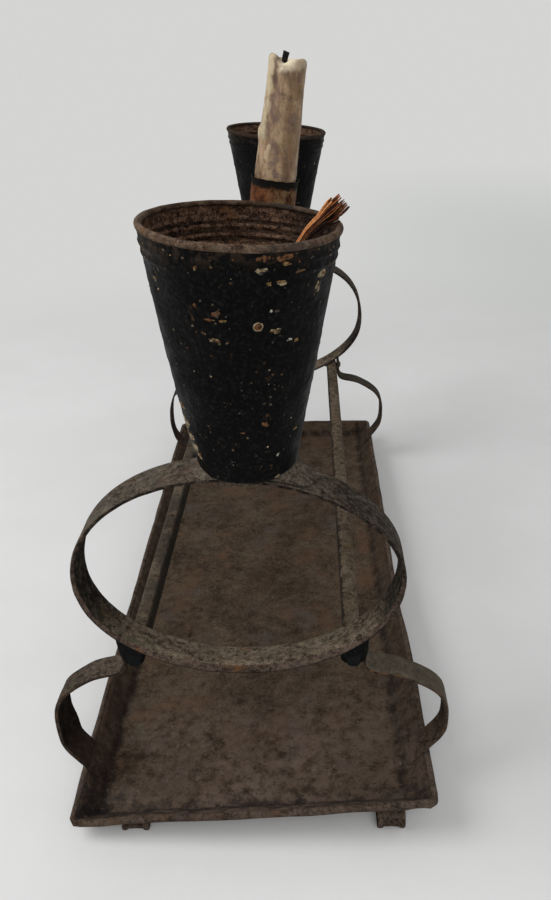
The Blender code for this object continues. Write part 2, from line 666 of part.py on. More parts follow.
def make_bundle(surface):
    """The fibre bundle in the near cup, across from the left wall to the right rim."""
    lean = math.radians(BUNDLE_LEAN)
    along = Vector((math.sin(lean), math.cos(lean)))
    above = Vector((-along.y, along.x))
    rim_x = CUP_RIM_RADIUS - CUP_RIM_WIRE
    rim = Vector((rim_x, CUP_HEIGHT - CUP_RIM_WIRE - rim_x * cup_skew))
    at_rim = rim + above * (CUP_RIM_WIRE + SEAT_GAP + BUNDLE_RADIUS)
    corner = at_rim + above * BUNDLE_FOOT_RADIUS
    wall_there = cup_wall_radius(corner.y) - CUP_SHEET - 2 * SEAT_GAP
    reach = (wall_there + corner.x) / (along.x + along.y * cup_slope)
    frame = cup_frame("near") @ frame_at(Vector((at_rim.x, 0, at_rim.y)), BUNDLE_LEAN)
    profile = [
        (0, -reach), (BUNDLE_FOOT_RADIUS, -reach), (BUNDLE_RADIUS, 0),
        (BUNDLE_TIP_RADIUS, BUNDLE_PROUD), (0, BUNDLE_PROUD)]
    add_piece("fibre_bundle", turned(profile, 2 * SMALL_STEPS, closed=False), surface, frame)


def build():
    """Make every piece of the stand."""
    for leftover in list(bpy.data.objects):
        bpy.data.objects.remove(leftover)

    tray_rust = finish("tray_rust", (0.085, 0.060, 0.047), 0.85, 0.25)
    strap_rust = finish("strap_rust", (0.120, 0.095, 0.075), 0.80, 0.30)
    black_paint = finish("black_paint", (0.012, 0.012, 0.012), 0.45, 0.0)
    rim_rust = finish("rim_rust", (0.110, 0.075, 0.055), 0.80, 0.25)
    socket_rust = finish("socket_rust", (0.130, 0.070, 0.040), 0.80, 0.20)
    wax = finish("old_wax", (0.46, 0.39, 0.31), 0.55, 0.0)
    char = finish("charred_wick", (0.010, 0.010, 0.010), 0.90, 0.0)
    fibre = finish("brown_fibre", (0.30, 0.12, 0.045), 0.80, 0.0)

    tray = make_tray(tray_rust)
    make_tray_bead(tray_rust)
    tray_holes = []
    foot_places = (
        ("near", "left", FOOT_INSET_NEAR_LEFT), ("near", "right", FOOT_INSET_NEAR_RIGHT),
        ("far", "left", FOOT_INSET_FAR_LEFT), ("far", "right", FOOT_INSET_FAR_RIGHT))
    for end, side, inset in foot_places:
        tray_holes.append(make_foot(end, side, inset, strap_rust, tray_rust))
    for side in SIDES:
        rail = make_rail(side, strap_rust)
        rail_holes = []
        for end in ENDS:
            tab_hole, wall_hole = make_bracket(end, side, strap_rust, tray_rust)
            rail_holes.append(tab_hole)
            tray_holes.append(wall_hole)
        drill(rail, rail_holes)
    drill(tray, tray_holes)

    for end in ENDS:
        make_ring(end, strap_rust)
        make_cup(end, black_paint, rim_rust, strap_rust)
    make_top_bar(strap_rust)
    make_candle(socket_rust, strap_rust, wax, char)
    make_bundle(fibre)


build()
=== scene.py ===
"""Looks of the old iron candle stand: rusted tray, straps and cups, worn candle, frayed fibre bundle.

Metres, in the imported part's frame. Each visual piece follows the CAD node that it stands for.
"""
import math
import random

import bmesh
import bpy
from mathutils import Matrix, Vector, noise


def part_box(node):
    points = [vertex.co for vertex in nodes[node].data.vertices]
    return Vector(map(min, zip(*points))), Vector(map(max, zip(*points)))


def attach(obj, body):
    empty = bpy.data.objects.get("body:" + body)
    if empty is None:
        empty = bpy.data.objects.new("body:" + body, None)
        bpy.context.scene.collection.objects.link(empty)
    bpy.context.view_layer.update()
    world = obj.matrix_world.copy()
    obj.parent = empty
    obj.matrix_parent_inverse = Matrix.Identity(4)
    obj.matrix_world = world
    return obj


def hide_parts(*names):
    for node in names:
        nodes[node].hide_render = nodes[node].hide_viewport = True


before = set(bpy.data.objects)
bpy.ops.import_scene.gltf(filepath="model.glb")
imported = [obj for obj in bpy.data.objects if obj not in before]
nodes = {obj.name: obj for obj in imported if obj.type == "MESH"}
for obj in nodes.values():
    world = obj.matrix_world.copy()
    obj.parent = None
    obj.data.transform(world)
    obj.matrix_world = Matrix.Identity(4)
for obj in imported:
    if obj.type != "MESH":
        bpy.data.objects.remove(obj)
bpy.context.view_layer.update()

# Camera, fitted to the photo's outlines
CAMERA_PLACE = Vector((0.03037, -0.40702, 0.30786))
CAMERA_YAW = math.radians(-3.173)
CAMERA_PITCH = math.radians(27.846)
CAMERA_ROLL = math.radians(2.342)
CAMERA_LENS = 30.746

# Sizes shared with the solids
FLOOR_HALF = Vector((0.06825, 0.180))
FLOOR_Z = 0.0085
WALL_FLARE = 0.0080
WALL_HEIGHT = 0.0105
SHEET = 0.0010
BEAD_RADIUS = 0.0016
TWIST = 0.0060
FOOT_SOLE = 0.0080
FOOT_RIVETS = ((-0.05105, -0.17244), (0.06205, -0.16847), (-0.05605, 0.17087), (0.05605, 0.17087))
RING_STRAP_HALF = 0.00825
RING_POWER = {"near": 2.0, "far": 2.4}
BRACKET_STRAP_HALF = 0.00575
BRACKET_Y = {"near": -0.1593, "far": 0.1593}
STRAP_THICK = 0.0018
SEAT_GAP = 0.0003
CUP_HEIGHT = 0.0880
CUP_BASE = 0.0180
CUP_SLOPE = 0.160795
CUP_SHEET = 0.0009
RIM_RADIUS = 0.0334
RIM_WIRE = 0.00125
CUP_LEAN = 1.2
CUP_SKEW = math.tan(math.radians(3.1))
CUP_PLACES = {"near": (0.0060, -0.1543, 0.170691, 1.0), "far": (0.0060, 0.1543, 0.171162, 2.5)}
CANDLE_PLACE = Vector((0.0006, 0.0, 0.166308))
CANDLE_LEAN = math.radians(8.8)
TUBE_LOW = 0.0028
TUBE_HIGH = 0.0828
TUBE_RADIUS = 0.0117
TUBE_SHEET = 0.0005
CANDLE_LOW = 0.0040
CANDLE_HIGH = 0.1360
CANDLE_RADIUS = 0.0105
CANDLE_TOP = 0.0090
BUNDLE_PLACE = Vector((0.037157, -0.155837, 0.258088))
BUNDLE_AXIS = Vector((0.745474, -0.011902, 0.666429))

# Path of a bracket, from its tab at the rail to its toe on the tray's wall
TAB_LENGTH = 0.0070
SHOULDER_SHIFT = Vector((0.0183, -0.0182))
SHOULDER_SLOPE = math.radians(30)
BOW_OUT = 0.0064
TOE_UP = 0.0045
TOE_PRESS = 0.0013
BARE_TOE = 0.003

# Sizes, counts and slots of the looks alone
RIVET_RISE = 0.00030
RIVET_TOP = 0.0012
RIVET_EDGE = 0.0030
FOLD_WIDTH = 0.0013
FOLD_ANGLE = math.radians(28)
RIM_DROP = 0.0017
RIM_PUSH = 0.0013
RIM_CORNER = 0.0022
RIM_STEP = 0.0026
FOOT_STEP = 0.0011
FOOT_HALF_THICK = 0.0005
BOW_DRAWN_IN = 0.0033  # far left bracket
EDGE_TWIST = 0.0028    # near left bracket's rear edge
FOOT_BROADER = 0.0036  # near left bracket's foot
STRAP_STEP = 0.0022
STRAP_EDGE = 0.0005
STRAP_CELLS = 9
TOE_SLOT = 3
WIRE_SIDES = 12
NEAR_RIM_OUT = 0.0001
FAR_LEAN = 0.6
FAR_SQUASH = 0.981
CUP_FLARE = 0.0009
SWAGES = (0.0060, 0.0095)
SWAGE_HALF = 0.0014
SWAGE_HEIGHT = 0.0004
GROOVES = (0.0063, 0.0092, 0.0121)
RIDGE_HALF = 0.0009
RIDGE_HEIGHT = 0.0007
GROOVE_DEPTH = 0.0004
CUP_AROUND = 144
FLAKE_SIDES = 18
FLAKE_TOP = 0.0850
CANDLE_AROUND = 72
SHOULDER = CANDLE_HIGH - 0.0022
WICK_RADIUS = 0.00125
WICK_OUT = 0.0042
WICK_DEEP = 0.0045
STRANDS = 68
FILLERS = 14
STRAND_STEPS = 26
STRAND_SIDES = 6
DARK_FIBRE = 3
BACKDROP = (0.66, 0.665, 0.655)

ENDS = ("near", "far")
SIDES = (("left", -1), ("right", 1))

wall_run = math.hypot(WALL_FLARE, WALL_HEIGHT)
wall_up = Vector((WALL_FLARE, WALL_HEIGHT)) / wall_run
wall_out = Vector((WALL_HEIGHT, -WALL_FLARE)) / wall_run
rim_reach = WALL_FLARE + (BEAD_RADIUS - SHEET / 2) * wall_out.x + BEAD_RADIUS
tray_half = FLOOR_HALF + Vector((1, 1)) * rim_reach


def tray_lift(x, y):
    """Height that the racked tray gains at a point."""
    return TWIST * (tray_half.y - y) / (2 * tray_half.y) * x / tray_half.x


def rough(point, scale, seed):
    """Smooth noise from -1 to 1; scale is in features per metre."""
    return noise.noise(Vector(point) * scale + Vector((7.3, 3.1, 5.7)) * seed)


def clamp(value, low=0.0, high=1.0):
    """A value held between two limits."""
    return min(high, max(low, value))


def step_up(value, low, high):
    """0 below low, 1 above high, smooth between."""
    share = clamp((value - low) / (high - low))
    return share * share * (3 - 2 * share)


def near_angle(angle, middle, width):
    """1 at an angle, falling to 0 a width away, in degrees."""
    apart = abs((angle - middle + 180) % 360 - 180)
    return 1 - step_up(apart, 0, width)


def middle_half(low, high):
    """Middle and half size of a box."""
    return (low + high) / 2, (high - low) / 2


def signed_power(value, power):
    """A value's size raised to a power, with its sign kept."""
    return math.copysign(abs(value) ** power, value)


def turns(count):
    """Angles of a whole turn in equal steps."""
    return [2 * math.pi * step / count for step in range(count)]


def level_way(angle):
    """Level unit vector at an angle."""
    return Vector((math.cos(angle), math.sin(angle), 0))


def upright(height):
    """Vector straight up."""
    return Vector((0, 0, height))


class Value:
    """A number or colour over a surface; arithmetic on it adds nodes to its finish."""

    def __init__(self, finish, socket):
        self.finish = finish
        self.socket = socket

    def step(self, kind, other):
        """One arithmetic step."""
        node = self.finish.add("ShaderNodeMath")
        node.operation = kind
        self.finish.fill(node.inputs[0], self)
        self.finish.fill(node.inputs[1], other)
        return Value(self.finish, node.outputs[0])

    def __add__(self, other):
        return self.step("ADD", other)

    def __sub__(self, other):
        return self.step("SUBTRACT", other)

    def __mul__(self, other):
        return self.step("MULTIPLY", other)

    def __truediv__(self, other):
        return self.step("DIVIDE", other)

    def __abs__(self):
        return self.step("ABSOLUTE", 0.0)

    def most(self, other):
        """The larger of two values."""
        return self.step("MAXIMUM", other)

    def least(self, other):
        """The smaller of two values."""
        return self.step("MINIMUM", other)

    def span(self, low, high, start=0.0, end=1.0):
        """The range from low to high, mapped smoothly onto start to end."""
        node = self.finish.add("ShaderNodeMapRange", Value=self)
        node.interpolation_type = "SMOOTHSTEP"
        for name, value in (("From Min", low), ("From Max", high), ("To Min", start), ("To Max", end)):
            node.inputs[name].default_value = value
        return Value(self.finish, node.outputs["Result"])


class Finish:
    """A node material while it is being built."""

    def __init__(self, name):
        self.surface = bpy.data.materials.new(name)
        self.surface.use_nodes = True
        self.tree = self.surface.node_tree
        self.shader = self.tree.nodes["Principled BSDF"]
        self.place = self.add("ShaderNodeTexCoord").outputs["Object"]
        parts = self.add("ShaderNodeSeparateXYZ", Vector=self.place)
        self.x, self.y, self.z = (Value(self, output) for output in parts.outputs)

    def add(self, kind, **inputs):
        """A new node with some of its inputs filled."""
        node = self.tree.nodes.new(kind)
        for name, value in inputs.items():
            self.fill(node.inputs[name], value)
        return node

    def fill(self, socket, value):
        """Link a socket, or set it to a plain value."""
        if isinstance(value, Value):
            value = value.socket
        if isinstance(value, bpy.types.NodeSocket):
            self.tree.links.new(value, socket)
        else:
            socket.default_value = value

    def moved(self, seed, stretch):
        """Object coordinates, shifted by a seed and stretched."""
        shift = (seed * 1.7, seed * 0.9, seed * 1.3)
        node = self.add("ShaderNodeMapping", Vector=self.place, Location=shift, Scale=stretch)
        return node.outputs["Vector"]

    def cloud(self, scale, seed, detail=5.0, gain=0.6, stretch=(1, 1, 1), swirl=0.0):
        """Noise of a scale in features per metre."""
        node = self.add("ShaderNodeTexNoise", Vector=self.moved(seed, stretch), Scale=scale, Detail=detail,
                        Roughness=gain, Distortion=swirl)
        return Value(self, node.outputs["Fac"])

    def cells(self, scale, seed):
        """Distance to scattered points."""
        node = self.add("ShaderNodeTexVoronoi", Vector=self.moved(seed, (1, 1, 1)), Scale=scale)
        return Value(self, node.outputs["Distance"])

    def ramp(self, value, *stops):
        """Colours along a value."""
        node = self.add("ShaderNodeValToRGB", Fac=value)
        marks = node.color_ramp.elements
        while len(marks) < len(stops):
            marks.new(1.0)
        for mark, (position, colour) in zip(marks, stops):
            mark.position = position
            mark.color = (*colour, 1.0)
        return Value(self, node.outputs["Color"])

    def mix(self, share, first, second):
        """Two colours mixed by a share."""
        node = self.add("ShaderNodeMix")
        node.data_type = "RGBA"
        self.fill(node.inputs[0], share)
        for socket, colour in ((node.inputs[6], first), (node.inputs[7], second)):
            self.fill(socket, colour if isinstance(colour, Value) else (*colour, 1.0))
        return Value(self, node.outputs[2])

    def coat(self, colour, *layers):
        """A colour under layers, each given as its share and its own colour."""
        for share, tint in layers:
            colour = self.mix(share, colour, tint)
        return colour

    def bump(self, height, strength, depth):
        """Relief from a height, added to what is there."""
        node = self.add("ShaderNodeBump", Strength=strength, Distance=depth, Height=height)
        normal = self.shader.inputs["Normal"]
        if normal.is_linked:
            self.fill(node.inputs["Normal"], normal.links[0].from_socket)
        self.fill(normal, node.outputs["Normal"])

    def done(self, colour, roughness, gloss=0.08):
        """Join the colour and roughness to the shader."""
        self.fill(self.shader.inputs["Base Color"], colour)
        self.fill(self.shader.inputs["Roughness"], roughness)
        self.shader.inputs["Specular IOR Level"].default_value = gloss
        return self.surface


def rust(name, colours, tints, seed, pits, grain, extra=None, shares=(0.20, 0.40, 0.40), spread=0.065):
    """Rusted iron: mottled in three sizes, tinted in patches, scabbed, pitted and chipped.

    The colours run from dark to light, each tint has a scale and the noise level that it starts from,
    and the shares are those of broad, middling and fine mottling.
    """
    made = Finish(name)
    dark, mid, light = colours
    middle = made.cloud(170 * grain, seed + 1, 7, 0.68)
    fine = made.cloud(820 * grain, seed + 2, 5, 0.72)
    tone = made.cloud(40, seed, 4) * shares[0] + middle * shares[1] + fine * shares[2]
    colour = made.ramp(tone, (0.5 - spread, dark), (0.50, mid), (0.5 + spread, light))
    for index, (tint, scale, level) in enumerate(tints):
        patch = made.cloud(scale, seed + 3 + index, 6, 0.66).span(level, level + 0.11, 0, 0.7)
        colour = made.mix(patch, colour, tint)
    scab = made.cloud(150 * grain, seed + 11, 8, 0.74, swirl=0.5).span(0.585, 0.620)
    scab = scab * made.cloud(55, seed + 12, 3).span(0.42, 0.58)
    hole = made.cells(240 * grain, seed + 13).span(0.12, 0.24, 0.8, 0.0)
    hole = hole * made.cloud(90, seed + 14, 3).span(0.52, 0.62)
    pit = scab.most(hole) * pits
    chip = made.cloud(330 * grain, seed + 15, 5, 0.7).span(0.600, 0.670, 0, 0.5)
    colour = made.coat(colour, (pit, tuple(part * 0.32 for part in dark)),
                       (chip, tuple(part * 1.35 for part in light)))
    if extra is not None:
        colour = extra(made, colour, middle)
    made.bump(middle - pit * 0.3, 0.7, 0.0022)
    made.bump(fine, 0.5, 0.0006)
    return made.done(colour, tone.span(0.40, 0.60, 0.95, 0.75))


def tray_dirt_and_shade(made, colour, mottle):
    """Painted light and shade on the tray: painted shade in its folds, along its near fold, at its near left
    corner and on its walls, deepest on the left wall, which faces away from the lamp, and a lighter mottled
    tone towards the near end, painted light.
    """
    # Painted light: a lighter mottled tone on the near part of the floor, where the light is stronger
    worn = made.y.span(-0.165, -0.090, 0.75, 0.0)
    floor = made.x.span(-0.062, -0.050) * mottle.span(0.34, 0.60)
    near_light_tone = made.ramp(made.cloud(24, 211, 5), (0.42, (0.080, 0.057, 0.043)), (0.50, (0.105, 0.073, 0.054)),
                     (0.58, (0.122, 0.088, 0.069)))
    # Painted shade on the walls, deepest on the left wall, which faces away from the lamp
    left = made.x.span(-0.0690, -0.0672, 0.80, 0.0)
    right = made.x.span(0.0672, 0.0690, 0.0, 0.55)
    wall = left.most(right) * mottle.span(0.36, 0.64, 0.95, 0.60)
    # Painted shade in the folds round the floor
    across = abs(abs(made.x) - 0.0680)
    along = abs(abs(made.y) - 0.1815)
    fold = across.least(along).span(0.0003, 0.0034, 1.0, 0.0) * mottle.span(0.36, 0.62, 0.85, 0.30)
    # Painted shade along the near fold
    band = made.y.span(-0.180, -0.169, 0.75, 0.0) * mottle.span(0.40, 0.58, 1.0, 0.1)
    speck = made.cloud(420, 214, 6, 0.72).span(0.575, 0.630, 0.0, 0.75)
    pale = made.cloud(300, 215, 6, 0.74).span(0.585, 0.650, 0.0, 0.65)
    # Painted shade at the near left corner
    corner = made.x.span(-0.066, -0.050, 1.0, 0.0) * made.y.span(-0.182, -0.150, 1.0, 0.0)
    corner = corner * mottle.span(0.40, 0.58, 0.85, 0.10)
    return made.coat(colour, (worn * floor, near_light_tone), (wall, (0.020, 0.0115, 0.0085)),
                     (fold, (0.011, 0.008, 0.007)), (band, (0.022, 0.016, 0.015)),
                     (speck * worn, (0.016, 0.011, 0.009)), (pale * worn, (0.165, 0.122, 0.096)),
                     (corner, (0.012, 0.010, 0.010)))


def ring_soot(made, colour, mottle):
    """The inner faces are black where they stand upright, more so at the left."""
    side = made.x.span(-0.0625, -0.0460, 1.0, 0.0).most(made.x.span(0.0520, 0.0620))
    return made.mix(side * mottle.span(0.36, 0.66, 1.0, 0.72), colour, (0.0050, 0.0042, 0.0036))


def bracket_soot(made, colour, mottle):
    """The left brackets' inner faces are black, with red rust towards the tray."""
    left = made.x.span(-0.01, 0.01, 1.0, 0.15)
    soot = made.mix(made.z.span(0.018, 0.034), (0.024, 0.014, 0.010), (0.0055, 0.0045, 0.0040))
    return made.mix(left * mottle.span(0.34, 0.66, 0.97, 0.70), colour, soot)


def ring_under_shade(made, colour, mottle):
    """Painted shade: the rings' undersides are black, where shade falls under them, and their right
    shoulders dark, turned away from the lamp at the left.
    """
    low = made.z.span(0.090, 0.112, 0.93, 0.0)
    right = made.x.span(0.030, 0.056) * mottle.span(0.38, 0.60, 0.75, 0.25)
    return made.coat(colour, (low, (0.008, 0.006, 0.005)), (right, (0.016, 0.013, 0.010)))


def far_soot(made, colour, mottle):
    """The far brackets are darker, and the right ones greener, than the near left one."""
    right = made.x.span(-0.01, 0.01, 0.0, 0.40)
    far = made.y.span(0.05, 0.10, 0.0, 0.6)
    return made.coat(colour, (right, (0.122, 0.108, 0.078)), (far, (0.020, 0.016, 0.013)))


def rim_soot(made, colour, mottle):
    """The near rim is darker at its back and grey at its right, and the far rim is darker all round."""
    back = made.y.span(-0.156, -0.136) * mottle.span(0.36, 0.62, 0.85, 0.35)
    right = made.x.span(0.012, 0.022) * made.x.span(0.030, 0.036, 1.0, 0.2)
    right = right * mottle.span(0.38, 0.60, 0.8, 0.2)
    far = made.y.span(-0.05, 0.05, 0.0, 0.62)
    return made.coat(colour, (back, (0.034, 0.019, 0.011)), (right, (0.034, 0.030, 0.026)),
                     (far, (0.018, 0.012, 0.009)))


def bundle_shadow_on_cup(made, colour, mottle):
    """Painted shadow of the fibre bundle: the near cup's inside is black at its right."""
    near = made.y.span(-0.10, 0.0, 1.0, 0.0)
    # Painted shadow, black, where the fibre bundle shades the inner wall
    right = made.x.span(0.0180, 0.0300) * mottle.span(0.36, 0.64, 0.95, 0.65)
    return made.mix(near * right, colour, (0.006, 0.004, 0.003))


def fringe(made, colour, mottle):
    """Orange rust in spots along the upper part of the near right bracket's edge."""
    right = made.x.span(0.048, 0.052) * made.x.span(0.066, 0.071, 1.0, 0.0)
    near = right * made.y.span(-0.15, -0.10, 1.0, 0.0)
    return made.mix(near * mottle.span(0.48, 0.56, 0.0, 0.8), colour, ORANGE)


def ring_edge_dark_and_shade(made, colour, mottle):
    """The rings' edges are black on their upper halves, and painted shade blackens the outside of their
    lower ones, as the shadow line under the ring.
    """
    top = made.z.span(0.108, 0.135) * mottle.span(0.36, 0.66, 0.95, 0.45)
    low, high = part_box("ring_near")
    middle, half = middle_half(low, high)
    across = (made.x - middle.x) / half.x
    upward = (made.z - middle.z) / half.z
    reach = across * across + upward * upward
    # Painted shadow: a black line along the outside of the lower edge
    under = reach.span(0.972, 0.984, 0.0, 0.9) * upward.span(-0.3, 0.0, 1.0, 0.0)
    return made.coat(colour, (top, (0.007, 0.006, 0.005)), (under, (0.006, 0.005, 0.004)))


def rail_paint_and_shade(made, colour, mottle):
    """Grey left rail, painted shade on the rails' inner sides and undersides, and black paint left on the
    rails' near ends.
    """
    across = made.x + (mottle - 0.5) * 0.004
    end = made.y + (mottle - 0.5) * 0.020
    left_rail = across.span(-0.001, 0.001, 1.0, 0.0)
    grey = left_rail * made.cloud(60, 210, 5).span(0.44, 0.58, 0.10, 0.72)
    # Painted shade on the inner side of each rail and under it
    left = across.span(-0.0438, -0.0426) * left_rail
    right = across.span(0.0424, 0.0434, 1.0, 0.0) * across.span(-0.001, 0.001)
    side = left.most(right).most(made.z.span(0.0795, 0.0835, 1.0, 0.0))
    return made.coat(colour, (grey, (0.036, 0.030, 0.025)), (side * 0.86, (0.010, 0.008, 0.006)),
                     (end.span(-0.161, -0.154, 0.96, 0.0), (0.004, 0.005, 0.006)))


ORANGE = (0.150, 0.068, 0.026)
OCHRE = (0.140, 0.096, 0.046)
GREEN = (0.078, 0.074, 0.048)
PURPLE = (0.056, 0.042, 0.040)
RUSSET = (0.088, 0.050, 0.030)
TAUPE = (0.068, 0.052, 0.044)
STRAP_TINTS = ((GREEN, 60, 0.55), (ORANGE, 190, 0.61), (PURPLE, 70, 0.56), (RUSSET, 90, 0.57))
# The tray's rust carries painted shade in its folds and on its walls, and painted light at its near end
tray_rust = rust(
    "tray_rust_worn", ((0.030, 0.0200, 0.0130), (0.057, 0.0393, 0.0255), (0.087, 0.063, 0.043)),
    ((RUSSET, 34, 0.52), (TAUPE, 45, 0.55), (GREEN, 40, 0.62), (ORANGE, 90, 0.645)), 1, 0.55, 1.0,
    tray_dirt_and_shade, (0.24, 0.36, 0.40), 0.080)
bead_rust = rust(
    "tray_bead_worn", ((0.026, 0.018, 0.013), (0.066, 0.046, 0.034), (0.104, 0.076, 0.057)),
    ((RUSSET, 60, 0.54), (ORANGE, 110, 0.61), (PURPLE, 60, 0.57)), 3, 0.6, 1.5)
# The rings' outer rust carries painted shade on their undersides and right shoulders
ring_rust = rust(
    "ring_rust_worn", ((0.024, 0.018, 0.013), (0.086, 0.068, 0.051), (0.160, 0.130, 0.100)),
    STRAP_TINTS, 6, 0.95, 2.4, ring_under_shade)
strap_rust = rust(
    "strap_rust_worn", ((0.024, 0.018, 0.013), (0.082, 0.065, 0.049), (0.150, 0.122, 0.094)),
    STRAP_TINTS, 5, 0.95, 2.4)
bracket_rust = rust(
    "bracket_rust_worn", ((0.020, 0.014, 0.010), (0.068, 0.051, 0.038), (0.125, 0.098, 0.074)),
    ((RUSSET, 80, 0.53), (GREEN, 55, 0.57), (ORANGE, 160, 0.61)), 8, 0.7, 2.2, far_soot)
ring_inside = rust(
    "ring_inner_worn", ((0.024, 0.016, 0.011), (0.112, 0.085, 0.059), (0.205, 0.162, 0.117)),
    ((GREEN, 70, 0.57), (ORANGE, 170, 0.60), (OCHRE, 90, 0.60)), 7, 0.95, 2.2, ring_soot)
bracket_inside = rust(
    "bracket_inner_worn", ((0.014, 0.009, 0.006), (0.050, 0.033, 0.023), (0.085, 0.058, 0.040)),
    ((ORANGE, 110, 0.58),), 9, 0.8, 2.0, bracket_soot)
# The rings' edges carry a painted shadow line along the outside of their lower halves
ring_edge = rust(
    "ring_edge_worn", ((0.020, 0.013, 0.010), (0.078, 0.054, 0.041), (0.140, 0.102, 0.077)),
    ((ORANGE, 120, 0.56), (PURPLE, 70, 0.54)), 11, 0.9, 2.4, ring_edge_dark_and_shade)
bracket_edge = rust(
    "bracket_edge_worn", ((0.012, 0.008, 0.006), (0.042, 0.029, 0.021), (0.085, 0.060, 0.043)),
    ((ORANGE, 150, 0.57), (PURPLE, 70, 0.55)), 12, 0.8, 2.4, fringe)
# The rails' rust carries painted shade on their inner sides and undersides
rail_rust = rust(
    "rail_rust_worn", ((0.034, 0.024, 0.016), (0.094, 0.069, 0.046), (0.150, 0.115, 0.079)),
    ((OCHRE, 80, 0.56), (GREEN, 60, 0.57), (ORANGE, 150, 0.61)), 13, 0.8, 2.0, rail_paint_and_shade)
rim_rust = rust(
    "cup_rim_worn", ((0.036, 0.021, 0.014), (0.114, 0.073, 0.049), (0.195, 0.136, 0.097)),
    ((GREEN, 80, 0.58), (RUSSET, 70, 0.53), (ORANGE, 140, 0.60)), 15, 0.6, 2.0, rim_soot, spread=0.085)
# The cup's inside carries the fibre bundle's painted shadow
cup_inside = rust(
    "cup_inner_worn", ((0.010, 0.0050, 0.0030), (0.068, 0.035, 0.021), (0.175, 0.105, 0.068)),
    ((ORANGE, 170, 0.58), (PURPLE, 110, 0.57), (GREEN, 60, 0.59)), 17, 0.9, 2.6,
    bundle_shadow_on_cup, (0.14, 0.36, 0.50), 0.055)
cup_groove = rust(
    "cup_groove_worn", ((0.007, 0.004, 0.003), (0.022, 0.013, 0.008), (0.075, 0.045, 0.030)),
    ((ORANGE, 170, 0.60),), 18, 0.9, 2.6)


def paint():
    """Old black paint, bumpy with blisters, worn through in specks."""
    made = Finish("black_paint_worn")
    fine = made.cloud(700, 22, 5, 0.7)
    black = made.ramp(fine, (0.40, (0.0010, 0.0010, 0.0011)), (0.55, (0.0026, 0.0027, 0.0028)),
                      (0.66, (0.011, 0.010, 0.009)))
    zone = made.cloud(45, 23, 4, 0.6).span(0.50, 0.64)
    speck = made.cells(330, 24).span(0.08, 0.24, 1.0, 0.0) * made.cloud(1300, 28, 3, 0.6).span(0.46, 0.56)
    tone = made.ramp(made.cloud(90, 25, 2), (0.40, (0.075, 0.034, 0.015)), (0.52, (0.150, 0.105, 0.060)),
                     (0.64, (0.110, 0.105, 0.085)))
    scab = made.cloud(150, 26, 6, 0.7).span(0.63, 0.70) * zone
    under_rim = made.z.span(0.2490, 0.2560) * made.cloud(260, 29, 6, 0.72).span(0.46, 0.58)
    colour = made.coat(black, (speck * zone * 0.8, tone), (scab * 0.85, (0.060, 0.030, 0.016)),
                       (under_rim * 0.7, (0.034, 0.021, 0.014)))
    made.bump(made.cloud(420, 27, 4, 0.6), 0.5, 0.0010)
    made.bump(fine, 0.35, 0.0004)
    return made.done(colour, made.cloud(60, 21, 5).span(0.40, 0.60, 0.46, 0.66), 0.05)


def candle_side(made):
    """How far right of a line that leans with the candle a point lies."""
    return made.x - (made.z - CANDLE_PLACE.z) * math.tan(CANDLE_LEAN)


def wax():
    """Old candle wax: tan and grimy, with cream runs at its left, a cream top with a painted highlight,
    painted shade in the notch beside its horn, and purple-brown stains.
    """
    made = Finish("wax_old")
    streak = made.cloud(130, 31, 7, 0.68, (1, 1, 0.40))
    waver = (made.cloud(230, 38, 4) - 0.5) * 0.006
    side = candle_side(made) + waver
    level = made.z + waver
    front = made.y.span(-0.001, 0.003, 1.0, 0.0)
    base = made.ramp(streak, (0.40, (0.128, 0.070, 0.036)), (0.50, (0.218, 0.136, 0.074)),
                     (0.60, (0.345, 0.238, 0.138)))
    brown = side.span(0.0, 0.0080) * made.cloud(95, 35, 6, 0.66).span(0.47, 0.58)
    column = side.span(-0.0058, -0.0040) * side.span(-0.0010, 0.0022, 1.0, 0.0)
    column = column * streak.span(0.44, 0.56, 0.9, 0.25)
    blotch = made.cloud(110, 32, 6, 0.70).span(0.53, 0.60)
    stain = column.most(blotch) * front
    dirt = made.cloud(420, 33, 5, 0.72).span(0.57, 0.64)
    run = side.span(-0.0072, -0.0048, 1.0, 0.0) * level.span(0.2655, 0.2700)
    cream = run * front * streak.span(0.40, 0.54, 0.35, 0.95)
    across = (side + 0.0047) / 0.0013
    upward = (level - 0.2607) / 0.0036
    drop = (across * across + upward * upward).span(0.4, 1.2, 0.7, 0.0) * front
    # Cream top, partly cream wax and partly a painted highlight, lightest at its middle left
    top = side.span(-0.0036, -0.0010, 0.22, 1.0) * side.span(0.0030, 0.0066, 1.0, 0.35)
    top = top * level.span(0.2948, 0.2990, 0.0, 0.95)
    # Painted shade: a dark line in the notch beside the horn
    crease = side.span(-0.0058, -0.0048) * side.span(-0.0044, -0.0032, 1.0, 0.0)
    crease = crease * front * level.span(0.2890, 0.2930, 0.0, 0.65)
    colour = made.coat(base, (brown * 0.80, (0.175, 0.100, 0.046)), (stain * 0.78, (0.122, 0.076, 0.064)),
                       (dirt * 0.65, (0.060, 0.034, 0.020)), (cream, (0.50, 0.405, 0.265)),
                       (drop, (0.42, 0.33, 0.21)), (top, (0.72, 0.62, 0.45)),
                       (crease, (0.110, 0.070, 0.046)))
    made.bump(streak, 0.6, 0.0018)
    made.bump(made.cloud(900, 34, 3), 0.3, 0.0004)
    made.shader.inputs["Subsurface Weight"].default_value = 0.10
    made.shader.inputs["Subsurface Radius"].default_value = (0.0030, 0.0018, 0.0010)
    made.shader.inputs["Subsurface Scale"].default_value = 1.0
    return made.done(colour, streak.span(0.35, 0.65, 0.62, 0.42), 0.3)


